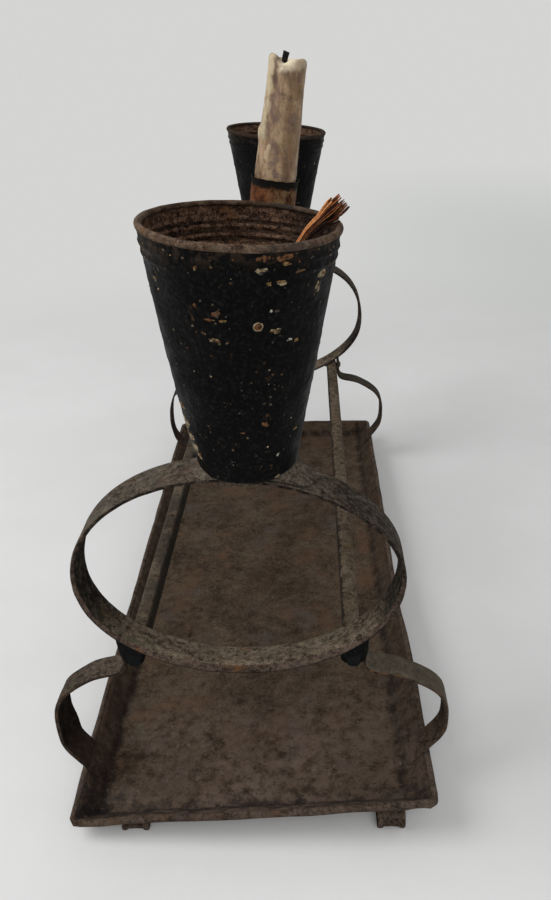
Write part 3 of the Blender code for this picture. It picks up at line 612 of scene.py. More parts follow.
def tube():
    """The socket: orange-brown rust under a ragged black band at its top edge."""
    made = Finish("socket_worn")
    tone = made.cloud(260, 41, 7, 0.7)
    brown = made.ramp(tone * 0.6 + made.cloud(70, 42, 3) * 0.4, (0.43, (0.018, 0.008, 0.004)),
                      (0.50, (0.072, 0.031, 0.013)), (0.57, (0.130, 0.076, 0.038)))
    red = candle_side(made).span(-0.0040, 0.0030, 0.75, 0.0) * tone.span(0.40, 0.58, 0.3, 1.0)
    across = (made.x - CANDLE_PLACE.x) * math.sin(CANDLE_LEAN)
    along = across + (made.z - CANDLE_PLACE.z) * math.cos(CANDLE_LEAN)
    band = (along + (tone - 0.5) * 0.009).span(0.0784, 0.0797, 0.0, 0.99)
    colour = made.coat(brown, (red, (0.120, 0.038, 0.014)), (band, (0.003, 0.0027, 0.0024)))
    made.bump(tone, 0.6, 0.0012)
    return made.done(colour, tone.span(0.35, 0.65, 0.9, 0.65))


def plain(name, low, high, seed, scale):
    """A small surface of two tones with grain."""
    made = Finish(name)
    tone = made.cloud(scale, seed, 5, 0.65)
    made.bump(tone, 0.4, 0.0004)
    return made.done(made.ramp(tone, (0.38, low), (0.62, high)), tone.span(0.38, 0.62, 0.9, 0.65))


def fibre(name, low, high, seed):
    """Coarse fibre, streaked."""
    made = Finish(name)
    tone = made.cloud(1500, seed, 3, 0.6)
    made.bump(tone, 0.4, 0.0002)
    return made.done(made.ramp(tone, (0.40, low), (0.60, high)), tone.span(0.35, 0.65, 0.75, 0.5), 0.2)


black_paint = paint()
old_wax = wax()
socket_finish = tube()
char = plain("wick_charred", (0.004, 0.004, 0.004), (0.016, 0.015, 0.014), 43, 500)
# Lit and shaded copies of one fibre, light to dark, chosen by where a strand lies; the dark one also serves
# the burnt tips
fibres = [
    fibre("fibre_light", (0.360, 0.128, 0.037), (0.62, 0.29, 0.105), 44),
    fibre("fibre_orange", (0.190, 0.053, 0.013), (0.38, 0.125, 0.034), 45),
    fibre("fibre_brown", (0.055, 0.015, 0.004), (0.135, 0.038, 0.011), 46),
    fibre("fibre_dark", (0.008, 0.003, 0.002), (0.032, 0.011, 0.005), 47)]
flecks = {
    "cream": plain("fleck_cream", (0.050, 0.036, 0.020), (0.34, 0.275, 0.175), 61, 900),
    "ochre": plain("fleck_ochre", (0.050, 0.026, 0.009), (0.25, 0.160, 0.066), 62, 900),
    "rust": plain("fleck_rust", (0.022, 0.009, 0.005), (0.150, 0.070, 0.032), 63, 900),
    "white": plain("fleck_white", (0.20, 0.19, 0.155), (0.46, 0.44, 0.38), 64, 900),
    "grey": plain("fleck_grey", (0.016, 0.015, 0.012), (0.085, 0.078, 0.060), 65, 900)}


def piece(name, points, faces, finishes, slots=None, body="stand", swaps=(), slot=None, crease=40):
    """Make a mesh piece that rides on a body and stands for CAD nodes."""
    mesh = bpy.data.meshes.new(name)
    mesh.from_pydata([tuple(point) for point in points], [], faces)
    for finish in finishes:
        mesh.materials.append(finish)
    if slots is not None:
        mesh.polygons.foreach_set("material_index", slots)
    shape = bmesh.new()
    shape.from_mesh(mesh)
    bmesh.ops.recalc_face_normals(shape, faces=shape.faces)
    shape.to_mesh(mesh)
    shape.free()
    mesh.shade_smooth()
    mesh.set_sharp_from_angle(angle=math.radians(crease))
    made = bpy.data.objects.new(name, mesh)
    bpy.context.scene.collection.objects.link(made)
    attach(made, body)
    if swaps:
        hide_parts(*swaps)
    return made


def loft(sections, loop=False):
    """Points and faces through a row of closed sections."""
    count = len(sections[0])
    points = [point for section in sections for point in section]
    faces = []
    for row in range(len(sections) if loop else len(sections) - 1):
        here = row * count
        there = (row + 1) % len(sections) * count
        for index in range(count):
            after = (index + 1) % count
            faces.append((here + index, here + after, there + after, there + index))
    if not loop:
        faces.append(tuple(range(count)))
        faces.append(tuple(range(len(points) - count, len(points))))
    return points, faces


def lofted(name, sections, finish, loop=False, **details):
    """A piece of one finish through a row of closed sections."""
    points, faces = loft(sections, loop)
    piece(name, points, faces, [finish], **details)


def evenly(path, spacing, loop=False):
    """The same line with points at an even spacing."""
    ends = path + [path[0]] if loop else path
    lengths = [0.0]
    for start, end in zip(ends, ends[1:]):
        lengths.append(lengths[-1] + (end - start).length)
    count = max(2, round(lengths[-1] / spacing))
    points = []
    place = 0
    for index in range(count if loop else count + 1):
        goal = lengths[-1] * index / count
        while place < len(lengths) - 2 and lengths[place + 1] < goal:
            place += 1
        share = (goal - lengths[place]) / max(1e-9, lengths[place + 1] - lengths[place])
        points.append(ends[place].lerp(ends[place + 1], min(1.0, share)))
    return points


def strap_outline(half_width):
    """Rounded section of a strap as (across, out) pairs, its broad faces cut into cells."""
    flat = half_width - STRAP_EDGE
    outline = []
    for side, face, start in ((1, 1, 90), (1, -1, 0), (-1, -1, -90), (-1, 1, 180)):
        for turn in (0, -45, -90):
            angle = math.radians(start + turn)
            outline.append((side * flat + STRAP_EDGE * math.cos(angle),
                            face * (STRAP_THICK / 2 - STRAP_EDGE) + STRAP_EDGE * math.sin(angle)))
        if side != face:
            edge = outline[-1]
            for cell in range(1, STRAP_CELLS):
                outline.append((edge[0] - side * 2 * flat * cell / STRAP_CELLS, edge[1]))
    return outline


def strap(name, path, middle_y, half_width, outward, finishes, seed, swaps, move,
          loop=False, swell=None, toe=0.0):
    """A worn strap bent along a path in XZ; outward is 1 where its outer side is left of the path.

    The finishes are those of its outer side, its inner side, its edges and the toe at its end. Each point
    goes through move, and swell thickens the inner side.
    """
    line = evenly(path, STRAP_STEP, loop)
    outline = strap_outline(half_width)
    count = len(line)
    sections = []
    for index, point in enumerate(line):
        before = line[index - 1] if index or loop else point
        after = line[(index + 1) % count] if index < count - 1 or loop else point
        along = (after - before).normalized()
        side = Vector((-along.y, along.x)) * outward
        section = []
        for across, out in outline:
            spot = (point.x, middle_y + across, point.y)
            worn = 1 + 0.030 * rough((point.x, math.copysign(1, across), point.y), 130, seed)
            deep = rough(spot, 330, seed + 1)
            wear = 0.00016 * rough(spot, 190, seed + 2) - 0.00034 * max(0.0, deep - 0.38)
            height = out + math.copysign(wear, out)
            if swell and out < 0:
                height -= swell(point, (across / half_width + 1) / 2)
            at = point + side * height
            section.append(move(at.x, middle_y + across * worn, at.y))
        sections.append(section)
    points, faces = loft(sections, loop)
    sides = len(outline)
    outs = [outline[index][1] + outline[(index + 1) % sides][1] for index in range(sides)]
    kinds = [0 if out > STRAP_THICK * 0.35 else 1 if out < -STRAP_THICK * 0.9 else 2 for out in outs]
    toe_start = (count - 1 - round(toe / STRAP_STEP)) * sides
    slots = [TOE_SLOT if toe and index >= toe_start else kinds[index % sides] for index in range(len(faces))]
    piece(name, points, faces, finishes, slots, swaps=swaps, slot="strap_rust")


def wall_point(half_floor, along, out):
    """A point of the tray's wall section."""
    return Vector((half_floor, FLOOR_Z)) + wall_up * along + wall_out * out


def bezier(start, start_pull, end_pull, end):
    """Points of a cubic curve, without its first point."""
    steps = 18
    points = []
    for step in range(1, steps + 1):
        t = step / steps
        u = 1 - t
        points.append(start * u ** 3 + start_pull * 3 * u * u * t + end_pull * 3 * u * t * t + end * t ** 3)
    return points


def corner_push(x, y):
    """How far the tray's near right corner is bent outwards."""
    return 0.0014 * step_up(x, 0.040, 0.070) * step_up(-y, 0.160, 0.190)


def corner_sag(x, y):
    """How far the tray's near left corner hangs down."""
    return 0.0022 * step_up(-x, 0.030, 0.0755) * step_up(-y, 0.150, 0.190)


def rim_hang(x, y):
    """Share by which the tray's near rim hangs, most near its middle."""
    return step_up(-y, 0.172, 0.188) * (0.36 + 0.64 * (1 - ((x + 0.005) / 0.0765) ** 2))


def splay(x, y):
    """Shift in X by which the long walls lean out, most at the left's far end and the right's near end."""
    left = max(0.0, 0.0019 + 0.0105 * (y + 0.05)) * step_up(-x, 0.030, 0.068)
    right = 0.0022 * max(0.0, 1 - ((y + 0.135) / 0.075) ** 2) * step_up(x, 0.030, 0.068)
    return right - left


def sheet_wave(x, y):
    """Slow waves of the tray's sheet, up and down."""
    return 0.00035 * rough((x, y, 0), 22, 71)


def wall_wave(x, y):
    """Slow waves of the tray's walls, in and out."""
    return 0.00050 * rough((x, y, 0), 30, 73)


def make_pan():
    """The tray's pan, with wavy sheet, soft folds and rusted-over rivets."""
    wide = 40
    long = 100
    heights = [wall_run * share for share in (0.12, 0.30, 0.55, 0.80, 0.97)]
    points = []
    index = {}

    def add(key, x, y, z, out):
        """Keep a point of the sheet, bent and worn."""
        swell = sheet_wave(x, y) + 0.00018 * rough((x, y, z), 75, 72)
        for rivet_x, rivet_y in FOOT_RIVETS:
            apart = math.hypot(x - rivet_x, y - rivet_y)
            swell += RIVET_RISE * (1 - step_up(apart, RIVET_TOP, RIVET_EDGE))
        bend = wall_wave(x, y)
        high = (z - FLOOR_Z) / WALL_HEIGHT
        hang = rim_hang(x, y) * high
        spot = Vector((x, y, z))
        spot += Vector((out[0] * bend + corner_push(x, y) + splay(x, y) * high,
                        out[1] * bend - RIM_PUSH * hang, swell))
        spot.z += tray_lift(spot.x, spot.y) - corner_sag(x, y) - RIM_DROP * hang
        index[key] = len(points)
        points.append(spot)

    def rim_cell(number):
        """Floor point beside the rim, walking round the floor."""
        if number < wide:
            return number, 0
        if number < wide + long:
            return wide, number - wide
        if number < 2 * wide + long:
            return 2 * wide + long - number, long
        return 0, 2 * (wide + long) - number

    for row in range(long + 1):
        for column in range(wide + 1):
            add(("floor", column, row), FLOOR_HALF.x * (2 * column / wide - 1),
                FLOOR_HALF.y * (2 * row / long - 1), FLOOR_Z, (0, 0))
    faces = []
    for row in range(long):
        for column in range(wide):
            faces.append([("floor", column, row), ("floor", column + 1, row),
                          ("floor", column + 1, row + 1), ("floor", column, row + 1)])
    around = 2 * (wide + long)
    for level, height in enumerate(heights):
        flare = wall_up.x * height
        for number in range(around):
            column, row = rim_cell(number)
            x = (FLOOR_HALF.x + flare) * (2 * column / wide - 1)
            y = (FLOOR_HALF.y + flare) * (2 * row / long - 1)
            out = (int(column == wide) - int(column == 0), int(row == long) - int(row == 0))
            add(("wall", level, number), x, y, FLOOR_Z + wall_up.y * height, out)
    for number in range(around):
        after = (number + 1) % around
        low = [("floor", *rim_cell(number)), ("floor", *rim_cell(after))]
        for level in range(len(heights)):
            high = [("wall", level, number), ("wall", level, after)]
            faces.append([low[0], low[1], high[1], high[0]])
            low = high
    faces = [[index[key] for key in face] for face in faces]
    rivets = ["foot_rivet_%s_%s" % (end, side) for end in ENDS for side, _ in SIDES]
    pan = piece("tray_pan_sheet", points, faces, [tray_rust], swaps=["tray_pan", *rivets],
                slot="tray_rust", crease=60)
    fold = pan.modifiers.new("folds", "BEVEL")
    fold.limit_method = "ANGLE"
    fold.angle_limit = FOLD_ANGLE
    fold.width = FOLD_WIDTH
    fold.segments = 3
    sheet = pan.modifiers.new("sheet", "SOLIDIFY")
    sheet.thickness = SHEET
    sheet.offset = 0


def make_tray_rim():
    """The tray's rolled rim, uneven and worn away below at its near right corner."""
    centre = wall_point(0, wall_run, BEAD_RADIUS - SHEET / 2)
    half = FLOOR_HALF + Vector((1, 1)) * (centre.x - RIM_CORNER)
    line = []
    for side_x, side_y, start in ((1, -1, -90), (1, 1, 0), (-1, 1, 90), (-1, -1, 180)):
        for turn in range(0, 91, 15):
            angle = math.radians(start + turn)
            line.append(Vector((side_x * half.x + RIM_CORNER * math.cos(angle),
                                side_y * half.y + RIM_CORNER * math.sin(angle))))
    line = evenly(line, RIM_STEP, loop=True)
    sections = []
    for number, point in enumerate(line):
        along = (line[(number + 1) % len(line)] - line[number - 1]).normalized()
        out = Vector((along.y, -along.x))
        spot = (point.x, point.y, 0)
        sway = wall_wave(point.x, point.y)
        sag = sheet_wave(point.x, point.y) + 0.00025 * rough(spot, 60, 75)
        size = BEAD_RADIUS * (1 + 0.16 * rough(spot, 90, 76))
        torn = step_up(point.x, 0.055, 0.064) * (1 - step_up(point.y, -0.186, -0.182))
        hang = rim_hang(point.x, point.y)
        section = []
        for angle in turns(WIRE_SIDES):
            tear = torn * 0.0010 * max(0.0, -math.sin(angle)) * (1 + rough(spot, 160, 77))
            level = 1.15 * size * math.sin(angle) - tear
            side = out * (sway + size * 0.92 * math.cos(angle))
            x = point.x + side.x + corner_push(point.x, point.y) + splay(point.x, point.y)
            y = point.y + side.y - RIM_PUSH * hang
            z = centre.y + level + sag + tray_lift(x, y) - corner_sag(x, y) - RIM_DROP * hang
            section.append((x, y, z))
        sections.append(section)
    lofted("tray_rim_roll", sections, bead_rust, loop=True, swaps=["tray_rim_bead"], slot="tray_rust")


# Section of a foot's strap with its raised edges: across and out, in mm
FOOT_SECTION = (
    (-6, 0.0), (-5.4, 0.42), (-4.6, 0.5), (-3.8, 0.30), (-3.1, -0.25), (0, -0.35), (3.1, -0.25), (3.8, 0.30),
    (4.6, 0.5), (5.4, 0.42), (6, 0.0), (5.4, -0.5), (4.0, -0.75), (0, -1.0), (-4.0, -0.75), (-5.4, -0.5))


def make_foot(name):
    """A strap foot with a raised bead along each edge."""
    low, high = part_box(name)
    end = -1 if "near" in name else 1
    front = low.y if end < 0 else high.y
    back = high.y if end < 0 else low.y
    middle = (low.x + high.x) / 2
    top = FLOOR_Z - SHEET / 2 - SEAT_GAP + tray_lift(middle, front)
    radius = top / 2
    bend = front - end * radius
    line = [Vector((back, top))]
    for turn in range(0, 181, 12):
        angle = math.radians(turn)
        line.append(Vector((bend + end * radius * math.sin(angle), radius + radius * math.cos(angle))))
    line.append(Vector((front - end * (radius + FOOT_SOLE), 0.0)))
    line = evenly(line, FOOT_STEP)
    sections = []
    for number, point in enumerate(line):
        along = (line[min(number + 1, len(line) - 1)] - line[max(number - 1, 0)]).normalized()
        out = Vector((-along.y, along.x)) * end
        section = []
        for across, height in FOOT_SECTION:
            spot = (middle + across / 1000, point.x, point.y)
            at = point + out * (height / 1000 - FOOT_HALF_THICK + 0.00012 * rough(spot, 420, 81))
            x = middle + across / 1000 * (1 + 0.02 * rough(spot, 160, 82))
            tilt = (tray_lift(x, at.x) - tray_lift(middle, front)) * step_up(at.y, 0.001, top)
            section.append((x, at.x, at.y + tilt))
        sections.append(section)
    lofted(name + "_strap", sections, bead_rust, swaps=[name], slot="strap_rust")


def make_bracket(end, side, flip):
    """A scroll bracket from the rail's side out and down onto the tray's wall."""
    rail_low, rail_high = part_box("rail_" + side)
    rail_side = max(abs(rail_low.x), abs(rail_high.x))
    tab_top = Vector((rail_side + SEAT_GAP + STRAP_THICK / 2, rail_high.z))
    tab_end = tab_top - Vector((0, TAB_LENGTH))
    shoulder = tab_top + SHOULDER_SHIFT
    way = Vector((math.cos(SHOULDER_SLOPE), -math.sin(SHOULDER_SLOPE)))
    off_wall = -(SHEET / 2 + SEAT_GAP + STRAP_THICK / 2)
    over_rim = wall_point(FLOOR_HALF.x, wall_run + 2 * BEAD_RADIUS, off_wall)
    bulge = Vector((tray_half.x + BOW_OUT, (shoulder.y + over_rim.y) / 2))
    toe = wall_point(FLOOR_HALF.x, TOE_UP, off_wall + TOE_PRESS)
    down = Vector((0, -1))
    dip = down * (tab_end.y - shoulder.y) * 0.90
    lead = way * (shoulder - tab_end).length * 0.55
    swing = (shoulder - bulge).length * 0.45
    tuck = (bulge - over_rim).length * 0.50
    path = [tab_top, tab_end]
    path += bezier(tab_end, tab_end + dip, shoulder - lead, shoulder)
    path += bezier(shoulder, shoulder + way * swing, bulge - down * swing, bulge)
    path += bezier(bulge, bulge + down * tuck, over_rim + wall_up * tuck, over_rim)
    path.append(toe)
    middle_y = BRACKET_Y[end]
    name = "%s_%s" % (end, side)
    drawn_in = BOW_DRAWN_IN if name == "far_left" else 0.0

    def move(x, y, z):
        """Mirror to the side, follow the tray's wall, twist the near left foot, draw in the far left bow."""
        x -= drawn_in * step_up(x, 0.0775, 0.0860)
        share = clamp((tab_end.y - z) / (tab_end.y - over_rim.y))
        lean = share * clamp((z - FLOOR_Z) / WALL_HEIGHT)
        if name == "near_left":
            rear = max(0.0, (y - middle_y) / BRACKET_STRAP_HALF)
            x -= EDGE_TWIST * rear * step_up(z, 0.026, 0.036) * (1 - step_up(z, 0.050, 0.062))
            y += FOOT_BROADER * rear * (1 - step_up(z, 0.036, 0.052))
        return (flip * x + splay(flip * tray_half.x, y) * lean, y, z + tray_lift(flip * x, y) * share)

    strap("bracket_%s_strap" % name, path, middle_y, BRACKET_STRAP_HALF, 1,
          [bracket_rust, bracket_inside, bracket_edge, tray_rust], 91 + flip,
          ["bracket_" + name, "tray_rivet_" + name], move, toe=(over_rim - toe).length - BARE_TOE)


def make_rail(side):
    """A rail with softened edges and worn ends."""
    low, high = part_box("rail_" + side)
    middle, half = middle_half(low, high)
    sides = 20
    steps = 140
    softness = 0.62
    outline = []
    for facet in range(sides):
        angle = 2 * math.pi * (facet + 0.5) / sides
        outline.append((half.x * signed_power(math.cos(angle), softness),
                        half.z * signed_power(math.sin(angle), softness)))
    sections = []
    for step in range(steps + 1):
        y = low.y + (high.y - low.y) * step / steps
        past = min(step, steps - step)
        shrink = (0.72, 0.93, 1.0)[min(past, 2)]
        if past == 0:
            y += (1 if step else -1) * -0.0002
        section = []
        for x, z in outline:
            spot = (middle.x + x, y, middle.z + z)
            worn = shrink * (1 + 0.03 * rough(spot, 50, 95) + 0.006 * rough(spot, 150, 96))
            section.append((middle.x + x * worn, y, middle.z + z * worn))
        sections.append(section)
    lofted("rail_%s_bar" % side, sections, rail_rust, swaps=["rail_" + side], slot="strap_rust")


def make_ring(end, seed):
    """An oval ring; the near one is thickened along its lower front edge and bent a little askew."""
    low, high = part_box("ring_" + end)
    middle = (low + high) / 2
    half_x = (high.x - low.x - STRAP_THICK) / 2
    half_z = (high.z - low.z - STRAP_THICK) / 2
    path = []
    for step in range(360):
        angle = math.radians(step)
        power = 2 / RING_POWER[end] if step < 180 else 1.0
        path.append(Vector((middle.x + half_x * signed_power(math.cos(angle), power),
                            middle.z + half_z * signed_power(math.sin(angle), power))))

    def swell(point, depth):
        """Thickening of the near ring's lower half, most at the front edge."""
        below = (middle.z - point.y) / half_z
        most = (0.0010 + 0.0024 * step_up(below, 0.45, 0.95)) * step_up(below, -0.10, 0.30)
        return most * (0.8 + 0.2 * step_up(depth, 0.0, 0.12)) * (1 - max(0.0, depth - 0.12) / 0.88)

    def askew(x, y, z):
        """Near ring: rear edge nearer at the foot than at the top, left shoulder high, right one low."""
        depth = (y - low.y) / (high.y - low.y)
        share = (z - low.z) / (high.z - low.z)
        turn = math.atan2((z - middle.z) / half_z, (x - middle.x) / half_x)
        slump = 0.0013 * math.sin(2 * turn) if turn > 0 else 0.0
        return (x, y + depth * (0.0040 * share - 0.0025), z - slump)

    def bulge(x, y, z):
        """Far ring: the right side stands out a little."""
        share = (z - low.z) / (high.z - low.z)
        return (x + 0.0024 * step_up(x, 0.020, 0.060) * step_up(share, 0.05, 0.40), y, z)

    near = end == "near"
    strap("ring_%s_strap" % end, path, middle.y, RING_STRAP_HALF, -1, [ring_rust, ring_inside, ring_edge],
          seed, ["ring_" + end], askew if near else bulge, loop=True, swell=swell if near else None)


def make_rail_solder(side, flip, inward):
    """Black solder that closes the gap between the near ring, a rail's end and its bracket."""
    low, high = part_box("ring_near")
    middle, half = middle_half(low, high)
    rail_low, rail_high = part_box("rail_" + side)
    inner = min(abs(rail_low.x), abs(rail_high.x)) - inward
    outer = max(abs(rail_low.x), abs(rail_high.x)) + SEAT_GAP + STRAP_THICK + 0.0003
    foot = rail_low.z + 0.0004

    def ring_under(x):
        return middle.z - half.z * math.sqrt(1 - (x / half.x) ** 2)

    rows = 14
    flat_cells = 8
    round_cells = 12
    softness = 0.55
    sections = []
    for row in range(rows + 1):
        share = row / rows
        y = low.y + 0.0003 + 0.0150 * share
        full = math.sqrt(max(0.05, 1 - (2 * share - 1) ** 6))
        section = []
        for number in range(flat_cells + 1):
            x = inner + (outer - inner) * number / flat_cells
            section.append((flip * x, y, ring_under(x) + 0.0004))
        for number in range(round_cells + 1):
            turn = math.pi * number / round_cells
            x = (inner + outer) / 2 + (outer - inner) / 2 * signed_power(math.cos(turn), softness)
            deep = (ring_under(x) - foot) * math.sin(turn) ** softness * full
            lump = 1 + 0.10 * rough((x, y, flip), 260, 106)
            section.append((flip * x, y, ring_under(x) - deep * lump))
        sections.append(section)
    lofted("rail_%s_solder" % side, sections, black_paint, slot="black_paint")


def cup_frame(end):
    """Frame of a cup at the middle of its base."""
    x, y, z, nod = CUP_PLACES[end]
    far = end == "far"
    lean = CUP_LEAN + (FAR_LEAN if far else 0)
    turn = Matrix.Rotation(math.radians(lean), 4, "Y") @ Matrix.Rotation(math.radians(nod), 4, "X")
    return Matrix.Translation((x, y, z)) @ turn @ Matrix.Diagonal((1, 1, FAR_SQUASH if far else 1, 1))


def cup_radius(height):
    """Outer radius of a cup's wall with its swaged rings."""
    radius = CUP_BASE + CUP_SLOPE * height + CUP_FLARE * (height / CUP_HEIGHT) ** 2
    for drop in SWAGES:
        apart = abs(height - (CUP_HEIGHT - drop)) / SWAGE_HALF
        radius += SWAGE_HEIGHT * (1 + math.cos(math.pi * min(1.0, apart))) / 2
    return radius


def cup_ridge(height):
    """How far a cup's inside stands in: more at its three ridges, less in the groove under each."""
    depth = 0.0
    for drop in GROOVES:
        apart = (height - (CUP_HEIGHT - drop)) / RIDGE_HALF
        depth += RIDGE_HEIGHT * max(0.0, 1 - abs(apart))
        depth -= GROOVE_DEPTH * max(0.0, 1 - abs(apart + 1.4) / 0.7)
    return depth


def cup_slant(point):
    """A cup's point, moved with the slant of its rim."""
    return point - upright(point.x * CUP_SKEW * (point.z / CUP_HEIGHT) ** 2)


def belly(way_x, height):
    """How far the near cup's wall stands out beyond its cone, mostly at its left."""
    share = height / CUP_HEIGHT
    out = NEAR_RIM_OUT + 0.0011 * (1 - share ** 2) + 0.0006 * math.sin(math.pi * share)
    out *= 0.5 + 0.5 * step_up(height, 0.0, 0.008)
    return out * (max(0.0, -way_x) + 0.2 * max(0.0, way_x))


def cup_skin(end, angle, height):
    """Point of a cup's dented outer skin, in the cup's frame."""
    seed = 111 if end == "near" else 116
    way = level_way(angle)
    radius = cup_radius(height) + (belly(way.x, height) if end == "near" else 0)
    spot = way * radius + upright(height)
    dent = 0.00030 * rough(spot, 38, seed) + 0.00016 * rough(spot, 130, seed + 1)
    blister = 0.00042 * max(0.0, rough(spot, 300, seed + 2) - 0.10)
    seam = 0.0006 * (1 - step_up(abs(math.degrees(angle) % 360 - 100), 5, 8))
    edge = min(1.0, height / 0.004) * min(1.0, (CUP_HEIGHT - height) / 0.006)
    return cup_slant(way * (radius + (dent + blister + seam) * edge) + upright(height))


def outward_from(point):
    """Level direction from a cup's axis to a point of its skin."""
    return Vector((point.x, point.y, 0)).normalized()


def make_cup_wall(end, placed):
    """A cup's tapered sheet, painted outside and rusted inside."""
    wall_top = CUP_HEIGHT - RIM_WIRE * 1.4
    # Coarse rows below, fine ones round the swaged rings and the grooves
    coarse = 46
    low_rows = 30
    high_rows = 70
    bend = wall_top * low_rows / coarse
    levels = [wall_top * step / coarse for step in range(low_rows)]
    levels += [bend + (wall_top - bend) * step / high_rows for step in range(high_rows + 1)]
    sections = []
    for height in levels:
        sections.append([cup_skin(end, angle, height) for angle in turns(CUP_AROUND)])
    for height in reversed(levels):
        section = []
        for angle in turns(CUP_AROUND):
            outside = cup_skin(end, angle, height)
            section.append(outside - outward_from(outside) * (CUP_SHEET + cup_ridge(height)))
        sections.append(section)
    points, faces = loft([[placed @ point for point in section] for section in sections], loop=True)
    heights = levels + levels[::-1]
    slots = []
    for index in range(len(faces)):
        row, step = divmod(index, CUP_AROUND)
        ridge = cup_ridge(heights[row] + 0.0004 * rough((step, row * 0.2, 0), 0.35, 112))
        painted = row < len(levels) - 1 or row == len(heights) - 1
        slots.append(0 if painted else 2 if ridge < -0.0001 else 1)
    piece("cup_%s_wall" % end, points, faces, [black_paint, cup_inside, cup_groove], slots,
          swaps=["cup_" + end], slot="black_paint")


def make_cup_rim(end, placed):
    """A cup's rolled rim, thinner at its back."""
    sections = []
    for angle in turns(CUP_AROUND):
        way = level_way(angle)
        spot = way * RIM_RADIUS
        thin = 1 - 0.24 * step_up(way.y, -0.2, 0.7)
        wire = RIM_WIRE * thin * (1 + 0.10 * rough(spot, 90, 121) + 0.05 * rough(spot, 320, 122))
        out = NEAR_RIM_OUT * max(0.0, -way.x) if end == "near" else 0
        middle = way * (RIM_RADIUS - RIM_WIRE + out + 0.00022 * rough(spot, 40, 123))
        middle.z = CUP_HEIGHT - RIM_WIRE + 0.00025 * rough(spot, 45, 124)
        section = []
        for turn in turns(WIRE_SIDES):
            point = middle + way * wire * math.cos(turn) + upright(wire * math.sin(turn))
            section.append(placed @ cup_slant(point))
        sections.append(section)
    lofted("cup_%s_rim_roll" % end, sections, rim_rust, loop=True, swaps=["cup_rim_" + end], slot="rim_rust")


def make_solder(end, placed):
    """Solder and grime that fill the angle between a cup's foot and the ring under it."""
    low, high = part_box("ring_" + end)
    middle, half = middle_half(low, high)
    power = RING_POWER[end]
    base = placed.translation
    side_reach = RING_STRAP_HALF - 0.0006

    def ring_top(x):
        return middle.z + half.z * (1 - abs(x / half.x) ** power) ** (1 / power)

    around = 72
    rows = 7
    sections = []
    for angle in turns(around):
        way = level_way(angle)
        lump = 1 + 0.5 * rough(way * 0.02, 120, 131)
        height = 0.0013 * lump
        high_point = placed @ (way * (CUP_BASE + CUP_SLOPE * height + 0.0001) + upright(height))
        spread = CUP_BASE + (0.0022 + 0.0050 * abs(way.x)) * lump
        x = base.x + way.x * spread
        y = clamp(base.y + way.y * spread, middle.y - side_reach, middle.y + side_reach)
        low_point = Vector((x, y, ring_top(x) - 0.0001))
        inner_x = base.x + way.x * CUP_BASE * 0.5
        inner_y = clamp(base.y + way.y * CUP_BASE * 0.5, middle.y - 0.007, middle.y + 0.007)
        section = []
        for row in range(rows):
            share = row / (rows - 1)
            point = high_point.lerp(low_point, share)
            inward = math.sin(math.pi * share) * 0.0007
            point -= Vector((way.x, way.y, 0.8)) * inward
            point += way * 0.00012 * rough(point, 400, 132)
            section.append(point)
        section.append(Vector((inner_x, inner_y, ring_top(inner_x) - 0.0002)))
        section.append(Vector((inner_x, inner_y, base.z + 0.0002)))
        sections.append(section)
    lofted("cup_%s_solder" % end, sections, ring_rust, loop=True, slot="strap_rust")


# Flakes on the near cup's front: angle in degrees, height, half width and half height in mm, kind
NEAR_FLECKS = (
    (-76, 62, 1.9, 1.9, "ring"), (-64, 60, 2.4, 1.0, "cream"), (-54, 56, 1.4, 0.6, "white"),
    (-48, 55, 1.4, 1.0, "ochre"), (-68, 67, 0.6, 0.6, "white"), (-64, 67, 1.0, 1.0, "grey"),
    (-74, 80, 2.0, 1.1, "cream"), (-63, 76, 2.6, 1.1, "cream"), (-70, 76, 1.0, 0.8, "ochre"),
    (-31, 76, 3.2, 1.7, "cream"), (-35, 72, 1.9, 2.7, "cream"), (-74, 84, 2.6, 1.4, "rust"),
    (-62, 84, 3.1, 1.4, "rust"), (-61, 82, 1.8, 0.6, "ochre"), (-52, 79, 2.4, 0.6, "rust"),
    (-110, 80, 0.9, 1.0, "rust"), (-138, 77, 1.0, 1.1, "grey"), (-145, 73, 1.4, 1.0, "cream"),
    (-100, 66, 2.2, 1.8, "rust"), (-106, 64, 2.6, 0.6, "rust"), (-98, 64, 1.7, 0.7, "ochre"),
    (-114, 68, 1.2, 0.8, "rust"), (-105, 57, 2.1, 0.9, "cream"), (-111, 59, 1.0, 0.8, "grey"),
    (-118, 61, 0.6, 0.6, "cream"), (-69, 25, 1.7, 1.2, "rust"), (-52, 1, 1.5, 0.8, "cream"),
    (-157, 27, 4.4, 1.6, "ochre"), (-156, 20, 3.4, 2.4, "cream"), (-152, 15, 3.4, 2.2, "cream"),
    (-150, 11, 3.0, 1.7, "cream"), (-143, 8, 1.6, 1.4, "cream"), (-54, 11, 0.7, 1.0, "white"),
    (-33, 19, 1.9, 0.6, "ochre"), (-89, 22, 1.3, 0.6, "rust"))
FRONT = (-165, -15)


